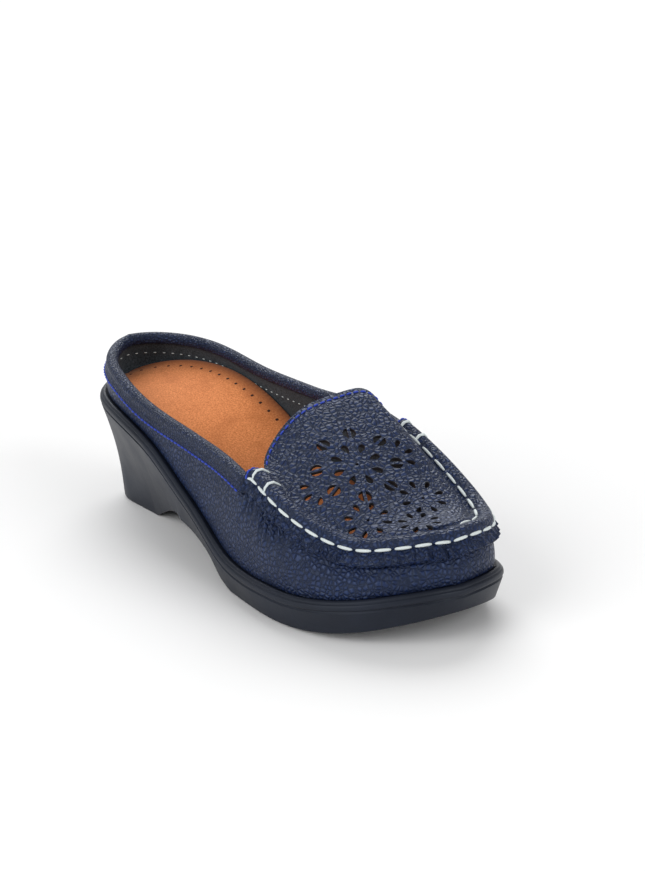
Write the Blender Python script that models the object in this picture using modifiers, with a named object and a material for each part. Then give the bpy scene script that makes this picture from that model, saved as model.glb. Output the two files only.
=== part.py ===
"""Moccasin mule for a right foot, standing on a one-piece moulded wedge sole.

The shoe is put together as a maker does it: a moulded sole, an insole, an upper that is
one hollow wall, an apron sewn over its front with a raised seam, and a rolled collar round
the opening. Metres, +Z up, +X to the toe, +Y to the inner side of the foot.
"""
import math

import bmesh
import bpy
import numpy as np
from mathutils import Vector
from mathutils.bvhtree import BVHTree

# Driving sizes of the shoe
LENGTH = 0.2500
BALL_WIDTH = 0.0918
HEEL_HEIGHT = 0.0455
FOREFOOT_HEIGHT = 0.0110
TOE_SPRING = 0.0130
ARCH_HEIGHT = 0.0152
TOE_SWING = 0.0047
UPPER_HEIGHT = 0.0240
VAMP_LEAN = 0.0080
BED_HEIGHT = 0.0125
GAP = 0.0003

# The moulded sole: its bead, its heel and the tread under it
BEAD_HEIGHT = 0.0040
BEAD_REACH = 0.0026
FOOT_INSET = 0.0034
HEEL_TIP_BACK = 0.0158
HEEL_TIP_FRONT = 0.0550
HEEL_TIP_WIDTH = 0.0350
HEEL_TIP_ROUND = 0.50
HEEL_TIP_SQUARE = 2.5
HEEL_WIDENING = 0.0480
HEEL_HOLLOW = 0.0016
HEEL_SEAT_FRONT = 0.0600
BREAST_RAKE = 0.0045
BREAST_HOLLOW = 0.0022
HOLLOW_END = 0.42
SPRING_START = 0.75
TREAD_DEPTH = 0.0012
TREAD_WIDTH = 0.0022
TREAD_PITCH = 0.0075
TREAD_MARGIN = 0.0070
TREAD_BACK = 0.62
TREAD_FRONT = 0.93

# The leathers
WALL = 0.0018
APRON_LEATHER = 0.0016
WALL_BULGE = 0.30
WALL_SWELL = 0.0005
BED_CUP = 0.0020
BED_ROUND = 0.0008
BED_ROUND_DROP = 0.0006

# The collar's rolled binding
COLLAR_DEPTH = 0.0058
ROLL_WIDTH = 0.0046
ROLL_HEIGHT = 0.0028
ROLL_REACH = 0.16

# The apron: its throat corners back from the toe, its raised seam, lip and throat
THROAT_OUTER = 0.0915
THROAT_INNER = 0.0855
RIDGE_WIDTH = 0.0062
RIDGE_HEIGHT = 0.0043
LIP_DROP = 0.0046
LIP_FLARE = 0.0007
THROAT_DIP = 0.0102
APRON_CROWN = 0.0170
CREST_FLATNESS = 5.0
DIP_FLATNESS = 6.0
SEAM_LEAD = 0.0030
SEAM_RUN = 0.0075

# The punched pattern, measured on the leather
PATTERN_BACK = 0.0620
PATTERN_ASIDE = -0.0017
PATTERN_TURN = 5.8
PETAL_TURN = -9.0
ROSE_RADIUS = 0.0083
DISC_RING_RADIUS = 0.0163
PETAL_LENGTH = 0.0049
PETAL_WIDTH = 0.0028
SMALL_ROSE_RADIUS = 0.0075
SMALL_PETAL_LENGTH = 0.0041
SMALL_PETAL_WIDTH = 0.0022
DISC_WIDTH = 0.0055
DISC_BAR = 0.0012
EYE_WIDTH = 0.0013
PETALS = 8
PUNCH_REACH = 0.0024

# Counts of stations and steps
HEEL_STEPS = 10
WAIST_STEPS = 8
FRONT_STEPS = 16
BREAST_STATION = HEEL_STEPS
THROAT_STATION = HEEL_STEPS + WAIST_STEPS + 1
FIELD_STEPS = 10


def table(columns, rows):
    """Give rows of numbers as one array for each named column."""
    return dict(zip(columns.split(), np.array(rows, float).T))


# Plan of the sole's rim: half widths to the outer and the inner side, in ball widths
OUTLINE = table("along outer inner", (
    (0.00, 0.000, 0.000),
    (0.03, 0.155, 0.188),
    (0.10, 0.277, 0.307),
    (0.20, 0.346, 0.356),
    (0.35, 0.386, 0.368),
    (0.50, 0.426, 0.392),
    (0.62, 0.481, 0.444),
    (0.74, 0.519, 0.481),
    (0.84, 0.488, 0.450),
    (0.92, 0.394, 0.369),
    (0.97, 0.243, 0.256),
    (1.00, 0.000, 0.000),
))

# Side view: rise of the rim between forefoot and heel, tops of the upper over the rim in
# upper heights, lean of its wall in vamp leans, and edges of the insole in bed heights
PROFILE = table("along rise outer_top inner_top outer_lean inner_lean outer_bed inner_bed", (
    (0.00, 0.97, 1.06, 1.06, 0.80, 0.80, 0.50, 0.54),
    (0.15, 1.01, 0.82, 0.95, 0.36, 0.48, 0.58, 1.00),
    (0.30, 0.86, 0.78, 1.03, 0.36, 0.44, 0.56, 1.16),
    (0.45, 0.44, 1.28, 1.62, 0.52, 0.48, 0.62, 1.08),
    (0.60, 0.03, 1.74, 2.18, 0.76, 0.40, 0.62, 0.90),
    (0.75, 0.00, 1.35, 1.66, 0.82, 0.40, 0.58, 0.62),
    (0.90, -0.03, 0.84, 0.95, 0.98, 0.08, 0.50, 0.50),
    (1.00, -0.13, 0.76, 0.76, 0.66, 0.66, 0.50, 0.50),
))

# Underside in front of the heel: height over the tread line, in arch heights
ARCH = table("along rise", (
    (0.22, 0.00),
    (0.26, 0.35),
    (0.30, 0.62),
    (0.34, 0.84),
    (0.39, 1.00),
    (0.44, 0.96),
    (0.48, 0.81),
    (0.52, 0.56),
    (0.56, 0.18),
    (0.60, 0.00),
))

# Section of the sole's bead over the rim's groove: inwards in bead reaches, up in bead heights
BEAD = table("inwards up", (
    (1.35, 0.84),
    (0.95, 1.00),
    (0.60, 0.97),
    (0.34, 0.82),
    (0.32, 0.70),
    (0.08, 0.58),
    (0.00, 0.30),
    (0.08, 0.08),
    (0.36, -0.04),
    (0.16, -0.24),
))

# Section of the collar, counted from the outer face of the wall's top edge: down the wall
# in collar depths, up over it in roll heights, outwards in roll widths
COLLAR = table("down up outwards", (
    (1.00, 0.00, 0.29),
    (0.62, 0.00, 0.33),
    (0.34, 0.00, 0.28),
    (0.12, 0.00, 0.40),
    (0.00, 0.25, 0.43),
    (0.00, 0.68, 0.30),
    (0.00, 0.95, 0.06),
    (0.00, 1.00, -0.22),
    (0.00, 0.82, -0.50),
    (0.00, 0.42, -0.70),
    (0.06, 0.00, -0.74),
    (0.22, 0.00, -0.64),
))

# Section of the raised seam over the wall's top edge: outwards in ridge widths from the
# stitch line, up in ridge heights
RIDGE = table("outwards up", (
    (0.03, 0.34),
    (-0.14, 0.80),
    (-0.44, 1.00),
    (-0.74, 0.93),
    (-0.97, 0.76),
    (-1.14, 0.66),
    (-1.45, 0.69),
))

# Crown of the apron from the throat to the toe, in apron crowns, how far its crest lies to
# the inner side, and the bow of its throat edge, in throat dips
CROWN = table("along height shift dip", (
    (0.00, 1.00, 0.44, 1.00),
    (0.15, 0.62, 0.33, 0.33),
    (0.30, 0.33, 0.22, 0.03),
    (0.45, 0.22, 0.14, 0.00),
    (0.60, 0.15, 0.11, 0.00),
    (0.75, 0.08, 0.11, 0.00),
    (0.90, 0.03, 0.11, 0.00),
    (1.00, 0.00, 0.11, 0.00),
))

# Half outline of a punched petal from its inner tip, in petal lengths and petal widths
PETAL = table("ahead aside", (
    (-0.50, 0.00),
    (-0.06, 0.44),
    (0.30, 0.46),
    (0.50, 0.12),
))

# Small roses: places ahead and aside of the pattern's middle in disc ring radii, radius in
# small rose radii, first petal and number of petals
ROSES = table("ahead aside radius first petals", (
    (1.30, -0.81, 1.00, 0, 8),
    (1.48, 0.80, 1.00, 0, 8),
    (2.22, 0.01, 0.88, 0, 8),
    (-0.14, -1.02, 0.94, 5, 3),
    (0.28, 0.94, 0.94, 1, 3),
))

COLOURS = {
    "sole": (0.030, 0.032, 0.040),
    "insole": (0.640, 0.230, 0.082),
    "upper": (0.040, 0.052, 0.105),
    "apron": (0.045, 0.058, 0.115),
    "collar": (0.034, 0.044, 0.086),
}
FINISHES = {"sole": 0.55, "insole": 0.85, "upper": 0.42, "apron": 0.40, "collar": 0.45}


def turn_of(along):
    """Angle round the shoe of a share of its length: 0 at the heel, pi at the toe."""
    return np.arccos(1 - 2 * np.asarray(along, float))


def smooth(tab, name, along):
    """Read a column at shares of the length, through a smooth curve on its rows."""
    knots = turn_of(tab["along"])
    values = tab[name]
    turns = np.clip(turn_of(along), knots[0], knots[-1])
    slopes = np.gradient(values, knots)
    slopes[1:-1] = (values[2:] - values[:-2]) / (knots[2:] - knots[:-2])
    low = np.clip(np.searchsorted(knots, turns, side="right") - 1, 0, len(knots) - 2)
    step = knots[low + 1] - knots[low]
    x = (turns - knots[low]) / step
    start = (1 + 2 * x) * (1 - x) ** 2 * values[low] + x * (1 - x) ** 2 * step * slopes[low]
    end = x * x * (3 - 2 * x) * values[low + 1] + x * x * (x - 1) * step * slopes[low + 1]
    return start + end


def side_stations(throat_back):
    """Shares of the length of one side's stations, with the breast and throat among them."""
    breast = HEEL_SEAT_FRONT / LENGTH
    arch = (HEEL_SEAT_FRONT + BREAST_RAKE) / LENGTH
    throat = 1 - throat_back / LENGTH
    heel_part = np.linspace(0, turn_of(breast), HEEL_STEPS + 1)
    waist_part = np.linspace(turn_of(arch), turn_of(throat), WAIST_STEPS + 1)
    front_part = np.linspace(turn_of(throat), math.pi, FRONT_STEPS + 1)[1:]
    turns = np.concatenate([heel_part, waist_part, front_part])
    return (1 - np.cos(turns)) / 2


def ring_of(outer, inner):
    """Join the values of both sides to one ring: heel, outer side, toe, inner side."""
    return np.concatenate([outer, inner[-2:0:-1]])


OUTER_SHARES = side_stations(THROAT_OUTER)
INNER_SHARES = side_stations(THROAT_INNER)
RING_SHARES = ring_of(OUTER_SHARES, INNER_SHARES)
SIDE = len(OUTER_SHARES) - 1
COUNT = 2 * SIDE


def column_ring(tab, outer_name, inner_name):
    """Ring of a table's columns for the outer and the inner side."""
    outer = smooth(tab, outer_name, OUTER_SHARES)
    inner = smooth(tab, inner_name, INNER_SHARES)
    return ring_of(outer, inner)


def normals_of(plan):
    """Outward normals in plan of a ring."""
    along = np.roll(plan, -1, axis=0) - np.roll(plan, 1, axis=0)
    normals = np.stack([along[:, 1], -along[:, 0]], axis=1)
    return normals / np.linalg.norm(normals, axis=1)[:, None]


def inset(plan, distance):
    """Move a ring inwards by a distance, or by one distance for each station."""
    return plan - normals_of(plan) * np.reshape(distance, (-1, 1))


def level(plan, height):
    """Give a plan ring its heights."""
    return np.column_stack([plan, np.broadcast_to(height, len(plan))])


def rim_plan():
    """Plan of the sole's widest line, centred on the origin."""
    swing = np.clip((RING_SHARES - 0.5) / 0.5, 0, 1)
    centre = TOE_SWING * swing ** 2 * (3 - 2 * swing)
    side = ring_of(-np.ones(SIDE + 1), np.ones(SIDE + 1))
    half_width = BALL_WIDTH * column_ring(OUTLINE, "outer", "inner")
    plan = np.column_stack([LENGTH * RING_SHARES, centre + side * half_width])
    return plan - (plan.min(axis=0) + plan.max(axis=0)) / 2


RIM = rim_plan()
HEEL_X = RIM[0, 0]
TOE_X = HEEL_X + LENGTH


def spring(x):
    """Lift of the toe end at a place along the shoe."""
    share = np.clip(((x - HEEL_X) / LENGTH - SPRING_START) / (1 - SPRING_START), 0, 1)
    return TOE_SPRING * share ** 2


RISE = column_ring(PROFILE, "rise", "rise")
RIM_HEIGHT = FOREFOOT_HEIGHT + (HEEL_HEIGHT - FOREFOOT_HEIGHT) * RISE + spring(RIM[:, 0])
SEAT_HEIGHT = RIM_HEIGHT + BEAD_HEIGHT * BEAD["up"][0]


def wall_foot():
    """Outer face of the upper's lower edge, on the sole's seat."""
    plan = inset(RIM, BEAD_REACH * BEAD["inwards"][0] + GAP)
    return level(plan, SEAT_HEIGHT + GAP)


def seat_at(x):
    """Height of the sole's seat at a place along the shoe."""
    side = inset(RIM, BEAD_REACH * BEAD["inwards"][0])[:SIDE + 1, 0]
    return np.interp(x, side, SEAT_HEIGHT[:SIDE + 1])


def top_rail():
    """The line that shows at the top: middle of the collar's roll, then the apron's stitches."""
    lean = VAMP_LEAN * column_ring(PROFILE, "outer_lean", "inner_lean")
    plan = inset(inset(RIM, BEAD_REACH), lean)
    height = UPPER_HEIGHT * column_ring(PROFILE, "outer_top", "inner_top")
    return level(plan, RIM_HEIGHT + height)


FOOT = wall_foot()
RAIL = top_rail()


def wall_top():
    """Outer face of the upper's upper edge, under the collar or under the apron's seam."""
    outer = THROAT_OUTER - LENGTH * (1 - OUTER_SHARES)
    inner = THROAT_INNER - LENGTH * (1 - INNER_SHARES)
    front = np.clip((ring_of(outer, inner) + SEAM_LEAD) / SEAM_RUN, 0, 1)
    front = front ** 2 * (3 - 2 * front)
    under_seam = GAP + APRON_LEATHER
    under_roll = ROLL_WIDTH * ROLL_REACH
    plan = inset(RAIL[:, :2], front * under_seam - (1 - front) * under_roll)
    drop = front * GAP + (1 - front) * ROLL_HEIGHT
    return level(plan, RAIL[:, 2] - drop)


TOP = wall_top()
CHORD = TOP - FOOT
WALL_HEIGHT = np.linalg.norm(CHORD, axis=1)


def wall_at(share):
    """Ring on the upper's outer face, at a share of its wall's height for each station."""
    share = np.broadcast_to(share, COUNT)
    outwards = normals_of(RIM)
    lean = np.maximum(-(CHORD[:, :2] * outwards).sum(axis=1), 0)
    swell = (WALL_SWELL + WALL_BULGE * lean) * np.sin(math.pi * np.clip(share, 0, 1) ** 0.9)
    ring = FOOT + CHORD * share[:, None]
    ring[:, :2] += outwards * swell[:, None]
    return ring


def wall_down(depth):
    """Ring on the upper's outer face, at a depth below its upper edge."""
    return wall_at(1 - depth / WALL_HEIGHT)


def wall_frame(depth):
    """Ring at a depth below the wall's top, with its outward normals and its upward lines."""
    ring = wall_down(depth)
    up = ring - wall_down(depth + WALL)
    up /= np.linalg.norm(up, axis=1)[:, None]
    along = np.roll(ring, -1, axis=0) - np.roll(ring, 1, axis=0)
    out = np.cross(along, up)
    out /= np.linalg.norm(out, axis=1)[:, None]
    return ring, out, up


def beside_wall(down, up, outwards):
    """Ring beside the wall: down its face or up over its top, then outwards from it."""
    ring, out, rising = wall_frame(down)
    return ring + out * outwards + rising * up


def new_object(name, mesh, collection):
    """Link a mesh as a named object."""
    mesh.validate()
    piece = bpy.data.objects.new(name, mesh)
    collection.objects.link(piece)
    return piece


def paint(piece):
    """Give a piece its own material."""
    material = bpy.data.materials.new(piece.name)
    material.use_nodes = True
    shader = material.node_tree.nodes["Principled BSDF"]
    shader.inputs["Base Color"].default_value = (*COLOURS[piece.name], 1)
    shader.inputs["Roughness"].default_value = FINISHES[piece.name]
    shader.inputs["Metallic"].default_value = 0
    piece.data.materials.append(material)


def finish(piece):
    """Shade a piece smooth, with its sharp edges kept."""
    piece.data.shade_smooth()
    piece.data.set_sharp_from_angle(angle=math.radians(40))
    paint(piece)
    return piece


def add_rows(bm, rows):
    """Add rows of points as vertices."""
    return [[bm.verts.new(point) for point in row] for row in rows]


def skin(bm, rows, closed):
    """Join neighbouring rows of vertices with four-sided faces."""
    for low, high in zip(rows, rows[1:]):
        count = len(low) if closed else len(low) - 1
        for i in range(count):
            j = (i + 1) % len(low)
            bm.faces.new((low[i], low[j], high[j], high[i]))


def ladder(bm, ring, between):
    """Close a ring with strips from side to side; between gives each strip's inner points."""
    rows = []
    for i in range(1, SIDE):
        left, right = ring[i], ring[COUNT - i]
        inner = [bm.verts.new(point) for point in between(i, left.co, right.co)]
        rows.append([left, *inner, right])
    for low, high in zip(rows, rows[1:]):
        for j in range(len(low) - 1):
            bm.faces.new((low[j], high[j], high[j + 1], low[j + 1]))
    for tip, row in ((ring[0], rows[0]), (ring[SIDE], rows[-1])):
        for j in range(len(row) - 1):
            bm.faces.new((tip, row[j], row[j + 1]))


def across(left, right, steps):
    """Points between two ends, with their places from -1 to 1."""
    places = np.linspace(-1, 1, steps + 1)[1:-1]
    left, right = np.array(left), np.array(right)
    return [(v, left + (right - left) * (v + 1) / 2) for v in places]


def closed_mesh(name, bm):
    """Write a closed shape to a mesh with its faces pointing out."""
    bmesh.ops.recalc_face_normals(bm, faces=bm.faces)
    mesh = bpy.data.meshes.new(name)
    bm.to_mesh(mesh)
    bm.free()
    return mesh


def tread_ring():
    """Edge of the sole's underside: tip of the heel, then arch and forefoot."""
    plan = inset(RIM, FOOT_INSET)
    arch = ARCH_HEIGHT * smooth(ARCH, "rise", RING_SHARES)
    ring = level(plan, spring(plan[:, 0]) + arch)
    seat_x = RIM[BREAST_STATION, 0] - HEEL_X
    middle = (RIM[COUNT - BREAST_STATION, 1] + RIM[BREAST_STATION, 1]) / 2
    for i in range(COUNT):
        if min(i, COUNT - i) > BREAST_STATION:
            continue
        share = (RIM[i, 0] - HEEL_X) / seat_x
        x = HEEL_X + HEEL_TIP_BACK + (HEEL_TIP_FRONT - HEEL_TIP_BACK) * share
        corner = 1 - min(share / HEEL_TIP_ROUND, 1)
        half = HEEL_TIP_WIDTH / 2 * (1 - corner ** HEEL_TIP_SQUARE) ** (1 / HEEL_TIP_SQUARE)
        side = -1 if i < SIDE else 1
        ring[i] = (x, middle + side * half, 0)
    heel_front = HEEL_X + HEEL_TIP_FRONT
    for i in range(BREAST_STATION + 1, COUNT - BREAST_STATION):
        wide = min((ring[i, 0] - heel_front) / HEEL_WIDENING, 1)
        side = -1 if i < SIDE else 1
        narrow = middle + side * HEEL_TIP_WIDTH / 2
        ring[i, 1] = narrow + (ring[i, 1] - narrow) * wide
    return ring


def sole_rows():
    """Rings of the sole from its seat over the bead and down the wall to the tread."""
    rows = []
    for inwards, up in zip(BEAD["inwards"], BEAD["up"]):
        rows.append(level(inset(RIM, BEAD_REACH * inwards), RIM_HEIGHT + BEAD_HEIGHT * up))
    start, end = rows[-1], tread_ring()
    hollow = HEEL_HOLLOW * np.clip(1 - RING_SHARES / HOLLOW_END, 0, 1) ** 0.5
    outwards = normals_of(RIM)
    for share in (0.22, 0.50, 0.78, 0.94):
        row = start + (end - start) * share
        row[:, :2] -= outwards * (hollow * math.sin(math.pi * share))[:, None]
        rows.append(row)
    rows.append(end)
    return rows


def make_sole(collection, cutters):
    """The moulded sole: wedge heel, breast, arch, beaded side and cut tread."""
    bm = bmesh.new()
    rows = add_rows(bm, sole_rows())
    skin(bm, rows, closed=True)
    ladder(bm, rows[0], lambda i, left, right: ())

    def underside(i, left, right):
        points = []
        for v, point in across(left, right, 4):
            bow = 1 - v * v
            if i == BREAST_STATION:
                point[0] -= BREAST_HOLLOW * bow
            points.append(point)
        return points

    ladder(bm, rows[-1], underside)
    sole = new_object("sole", closed_mesh("sole", bm), collection)
    cut_away(sole, make_tread(cutters))
    return finish(sole)


def cut_away(piece, cutter):
    """Subtract a cutter from a piece."""
    cut = piece.modifiers.new(cutter.name, "BOOLEAN")
    cut.operation = "DIFFERENCE"
    cut.solver = "EXACT"
    cut.use_self = True
    cut.object = cutter


def make_tread(cutters):
    """Cutter of the cross grooves under the heel and the forefoot."""
    ring = tread_ring()
    bm = bmesh.new()
    heel_front = HEEL_X + HEEL_TIP_FRONT - TREAD_PITCH
    heel_back = HEEL_X + HEEL_TIP_BACK + TREAD_PITCH
    places = list(np.arange(heel_back, heel_front, TREAD_PITCH))
    ball_back = HEEL_X + LENGTH * TREAD_BACK
    ball_front = HEEL_X + LENGTH * TREAD_FRONT
    places += list(np.arange(ball_back, ball_front, TREAD_PITCH))
    for x in places:
        on_heel = x < HEEL_X + HEEL_TIP_FRONT
        first, last = (1, BREAST_STATION + 1) if on_heel else (BREAST_STATION + 1, SIDE)
        outer = ring[first:last]
        inner = ring[COUNT - np.arange(first, last)]
        low = np.interp(x, outer[:, 0], outer[:, 1]) + TREAD_MARGIN
        high = np.interp(x, inner[:, 0], inner[:, 1]) - TREAD_MARGIN
        box = bmesh.ops.create_cube(bm, size=1)["verts"]
        lift = float(spring(x))
        for vert in box:
            vert.co.x = x + vert.co.x * TREAD_WIDTH
            vert.co.y = low + (vert.co.y + 0.5) * (high - low)
            vert.co.z = lift + vert.co.z * 2 * TREAD_DEPTH
    return make_cutter("tread_cutter", bm, cutters)


def make_cutter(name, bm, cutters):
    """Link a cutter that is neither rendered nor drawn solid."""
    cutter = new_object(name, closed_mesh(name, bm), cutters)
    cutter.hide_render = True
    cutter.display_type = "WIRE"
    return cutter


def make_insole(collection):
    """The padded insole: it lies on the sole's seat, inside the wall, and cups the heel."""
    bed = RIM_HEIGHT + BED_HEIGHT * column_ring(PROFILE, "outer_bed", "inner_bed")
    share = (bed - FOOT[:, 2]) / (TOP[:, 2] - FOOT[:, 2])
    clear = WALL + 2 * GAP
    foot = wall_at(0.0)
    foot[:, :2] = inset(foot[:, :2], clear)
    foot[:, 2] = seat_at(foot[:, 0]) + GAP
    edge = wall_at(share)
    edge[:, :2] = inset(edge[:, :2], clear)
    rounded = edge.copy()
    rounded[:, :2] = inset(rounded[:, :2], BED_ROUND)
    edge[:, 2] -= BED_ROUND_DROP
    bm = bmesh.new()
    rows = add_rows(bm, [foot, edge, rounded])
    skin(bm, rows, closed=True)
    ladder(bm, rows[0], lambda i, left, right: ())

    def cupped(i, left, right):
        points = []
        for v, point in across(left, right, 6):
            point[2] -= BED_CUP * (1 - v ** 4) * math.sin(math.pi * min(1, i / SIDE * 1.6))
            points.append(point)
        return points

    ladder(bm, rows[-1], cupped)
    return finish(new_object("insole", closed_mesh("insole", bm), collection))


def thicken(piece, thickness):
    """Give an open surface its wall, inwards from the face that shows."""
    wall = piece.modifiers.new("wall", "SOLIDIFY")
    wall.thickness = thickness
    wall.offset = -1
    wall.use_even_offset = True


def surface_mesh(name, bm):
    """Write an open surface to a mesh."""
    mesh = bpy.data.meshes.new(name)
    bm.to_mesh(mesh)
    bm.free()
    return mesh


def make_upper(collection):
    """The upper: one hollow wall round the foot, open underneath and at its top."""
    bm = bmesh.new()
    band = 1 - COLLAR_DEPTH / WALL_HEIGHT
    rows = [wall_at(band * share) for share in (0, 0.22, 0.46, 0.74, 1)]
    rows += [wall_down(COLLAR_DEPTH * share) for share in (0.62, 0.34, 0)]
    skin(bm, add_rows(bm, rows), closed=True)
    upper = new_object("upper", surface_mesh("upper", bm), collection)
    thicken(upper, WALL)
    return finish(upper)


def collar_sections():
    """Rings of the collar's section, one for each of its corners."""
    sections = []
    for down, up, outwards in zip(COLLAR["down"], COLLAR["up"], COLLAR["outwards"]):
        sections.append(beside_wall(down * COLLAR_DEPTH, up * ROLL_HEIGHT, outwards * ROLL_WIDTH))
    inside = -(WALL + GAP)
    sections.append(beside_wall(COLLAR["down"][-1] * COLLAR_DEPTH, 0, inside))
    sections.append(beside_wall(0, GAP, inside))
    sections.append(beside_wall(0, GAP, GAP))
    for down in COLLAR["down"][2::-1]:
        sections.append(beside_wall(down * COLLAR_DEPTH, 0, GAP))
    return sections


def make_collar(collection):
    """The collar: a rolled binding that grips the wall's upper edge from throat to throat."""
    sections = collar_sections()
    stations = [(COUNT - THROAT_STATION + k) % COUNT for k in range(2 * THROAT_STATION + 1)]
    bm = bmesh.new()
    rows = []
    for i in stations:
        points = np.array([section[i] for section in sections])
        rows.append(points)
    for end, nextdoor in ((0, 1), (-1, -2)):
        away = rows[nextdoor].mean(axis=0) - rows[end].mean(axis=0)
        rows[end] = rows[end] + away / np.linalg.norm(away) * GAP
    verts = add_rows(bm, rows)
    skin(bm, verts, closed=True)
    bm.faces.new(verts[0])
    bm.faces.new(verts[-1])
    return finish(new_object("collar", closed_mesh("collar", bm), collection))


def seam_rows():
    """Rings of the apron's lip and raised seam, from the lip's edge to the field."""
    under = GAP + APRON_LEATHER
    rows = []
    for down, flare in ((1.0, LIP_FLARE), (0.5, 0.3 * LIP_FLARE), (0.0, 0.0)):
        ring, out, up = wall_frame(down * LIP_DROP)
        rows.append(ring + out * (under + flare))
    stitch = rows[-1]
    outwards = normals_of(RIM)
    for out, up in zip(RIDGE["outwards"], RIDGE["up"]):
        row = stitch.copy()
        row[:, :2] += outwards * out * RIDGE_WIDTH
        row[:, 2] += up * RIDGE_HEIGHT
        rows.append(row)
    return rows


def field_strips(bm, edge):
    """Strips of the apron's field from side to side, from the throat to the toe."""
    count = SIDE - THROAT_STATION
    strips = []
    for k in range(count):
        left, right = edge[k], edge[-1 - k]
        share = k / count
        height = APRON_CROWN * float(smooth(CROWN, "height", share))
        shift = float(smooth(CROWN, "shift", share))
        dip = THROAT_DIP * float(smooth(CROWN, "dip", share))
        strip = [left]
        for v, point in across(left.co, right.co, FIELD_STEPS):
            crest = v - shift * (1 - v * v)
            point[2] += height * (1 - abs(crest) ** CREST_FLATNESS)
            point[0] -= dip * (1 - abs(v) ** DIP_FLATNESS)
            strip.append(bm.verts.new(point))
        strips.append([*strip, right])
    for low, high in zip(strips, strips[1:]):
        for j in range(FIELD_STEPS):
            bm.faces.new((low[j], high[j], high[j + 1], low[j + 1]))
    tip = edge[count]
    for j in range(FIELD_STEPS):
        bm.faces.new((strips[-1][j], tip, strips[-1][j + 1]))


def petal_outline(length, width):
    """Outline of a petal with its tip towards the rose's middle."""
    half = [(a * length, b * width) for a, b in zip(PETAL["ahead"], PETAL["aside"])]
    return half + [(a, -b) for a, b in half[:0:-1]]


def disc_outlines():
    """Outlines of the two halves of a disc, on both sides of its bar."""
    radius = DISC_WIDTH / 2
    start = math.asin(DISC_BAR / DISC_WIDTH)
    angles = np.linspace(start, math.pi - start, 6)
    half = [(radius * math.cos(a), radius * math.sin(a)) for a in angles]
    return [half, [(a, -b) for a, b in half]]


def eye_outline():
    """Outline of the small hole in a rose's middle."""
    angles = np.arange(6) * math.pi / 3
    return [(EYE_WIDTH / 2 * math.cos(a), EYE_WIDTH / 2 * math.sin(a)) for a in angles]


def leather_frame(field, start, down, ahead):
    """Point of the field met from a start along a line, with its axes ahead, aside and out."""
    point, out, _, _ = field.ray_cast(start, down)
    out = out if out.z > 0 else -out
    aside = out.cross(ahead).normalized()
    return point, aside.cross(out), aside, out


def punch(bm, frame, outline):
    """Add the prism that punches one outline through the leather."""
    point, ahead, aside, out = frame
    base = [point + ahead * a + aside * b for a, b in outline]
    top = [bm.verts.new(p + out * PUNCH_REACH) for p in base]
    low = [bm.verts.new(p - out * (PUNCH_REACH + APRON_LEATHER)) for p in base]
    skin(bm, [low, top], closed=True)
    bm.faces.new(low)
    bm.faces.new(top)


def punch_ring(bm, field, middle, radius, turns, outlines):
    """Punch outlines in a ring on the leather round a middle, at turns from its axis ahead."""
    point, ahead, aside, out = middle
    for turn in turns:
        away = ahead * math.cos(turn) + aside * math.sin(turn)
        above = point + away * radius + out * ROSE_RADIUS
        frame = leather_frame(field, above, -out, away)
        for outline in outlines:
            punch(bm, frame, outline)


def make_punches(field, cutters):
    """Cutter of the punched pattern: a large rose with its ring of barred discs, and small roses."""
    bm = bmesh.new()
    turn = math.radians(PATTERN_TURN)
    ahead = Vector((math.cos(turn), math.sin(turn), 0))
    aside = Vector((-ahead.y, ahead.x, 0))
    above = Vector((TOE_X - PATTERN_BACK, PATTERN_ASIDE, LENGTH))
    down = Vector((0, 0, -1))
    step = 2 * math.pi / PETALS
    start_turn = math.radians(PETAL_TURN)
    all_turns = [start_turn + step * k for k in range(PETALS)]
    middle = leather_frame(field, above, down, ahead)
    punch(bm, middle, eye_outline())
    punch_ring(bm, field, middle, ROSE_RADIUS, all_turns, [petal_outline(PETAL_LENGTH, PETAL_WIDTH)])
    between = [turn + step / 2 for turn in all_turns]
    punch_ring(bm, field, middle, DISC_RING_RADIUS, between, disc_outlines())
    small = [petal_outline(SMALL_PETAL_LENGTH, SMALL_PETAL_WIDTH)]
    for a, b, radius, first, petals in zip(*ROSES.values()):
        start = above + ahead * (a * DISC_RING_RADIUS) + aside * (b * DISC_RING_RADIUS)
        middle = leather_frame(field, start, down, ahead)
        turns = [start_turn + step * (first + k) for k in range(int(petals))]
        punch_ring(bm, field, middle, radius * SMALL_ROSE_RADIUS, turns, small)
        if petals == PETALS:
            punch(bm, middle, eye_outline())
    return make_cutter("punch_cutter", bm, cutters)


def make_apron(collection, cutters):
    """The apron: punched leather with a raised seam and a lip over the wall."""
    bm = bmesh.new()
    stations = list(range(THROAT_STATION, COUNT - THROAT_STATION + 1))
    rows = add_rows(bm, [ring[stations] for ring in seam_rows()])
    skin(bm, rows, closed=False)
    field_strips(bm, rows[-1])
    bm.normal_update()
    field = BVHTree.FromBMesh(bm)
    apron = new_object("apron", surface_mesh("apron", bm), collection)
    thicken(apron, APRON_LEATHER)
    cut_away(apron, make_punches(field, cutters))
    return finish(apron)


def clear_scene():
    """Start from an empty scene."""
    for piece in list(bpy.data.objects):
        bpy.data.objects.remove(piece)


def new_collection(name):
    """Link a named collection."""
    collection = bpy.data.collections.new(name)
    bpy.context.scene.collection.children.link(collection)
    return collection


def main():
    clear_scene()
    shoe = new_collection("moccasin_mule")
    cutters = new_collection("cutters")
    make_sole(shoe, cutters)
    make_insole(shoe)
    make_upper(shoe)
    make_collar(shoe)
    make_apron(shoe, cutters)


main()
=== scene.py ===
# %% [markdown]
# # A moccasin mule on a moulded wedge sole
#
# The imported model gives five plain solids: sole, insole, upper, collar and apron. This lesson
# dresses them as leather, suede and moulded rubber. Every piece is laid on the same sections
# as its solid, only with many more points, so that each stays where the solid is.

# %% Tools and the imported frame
import math

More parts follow.
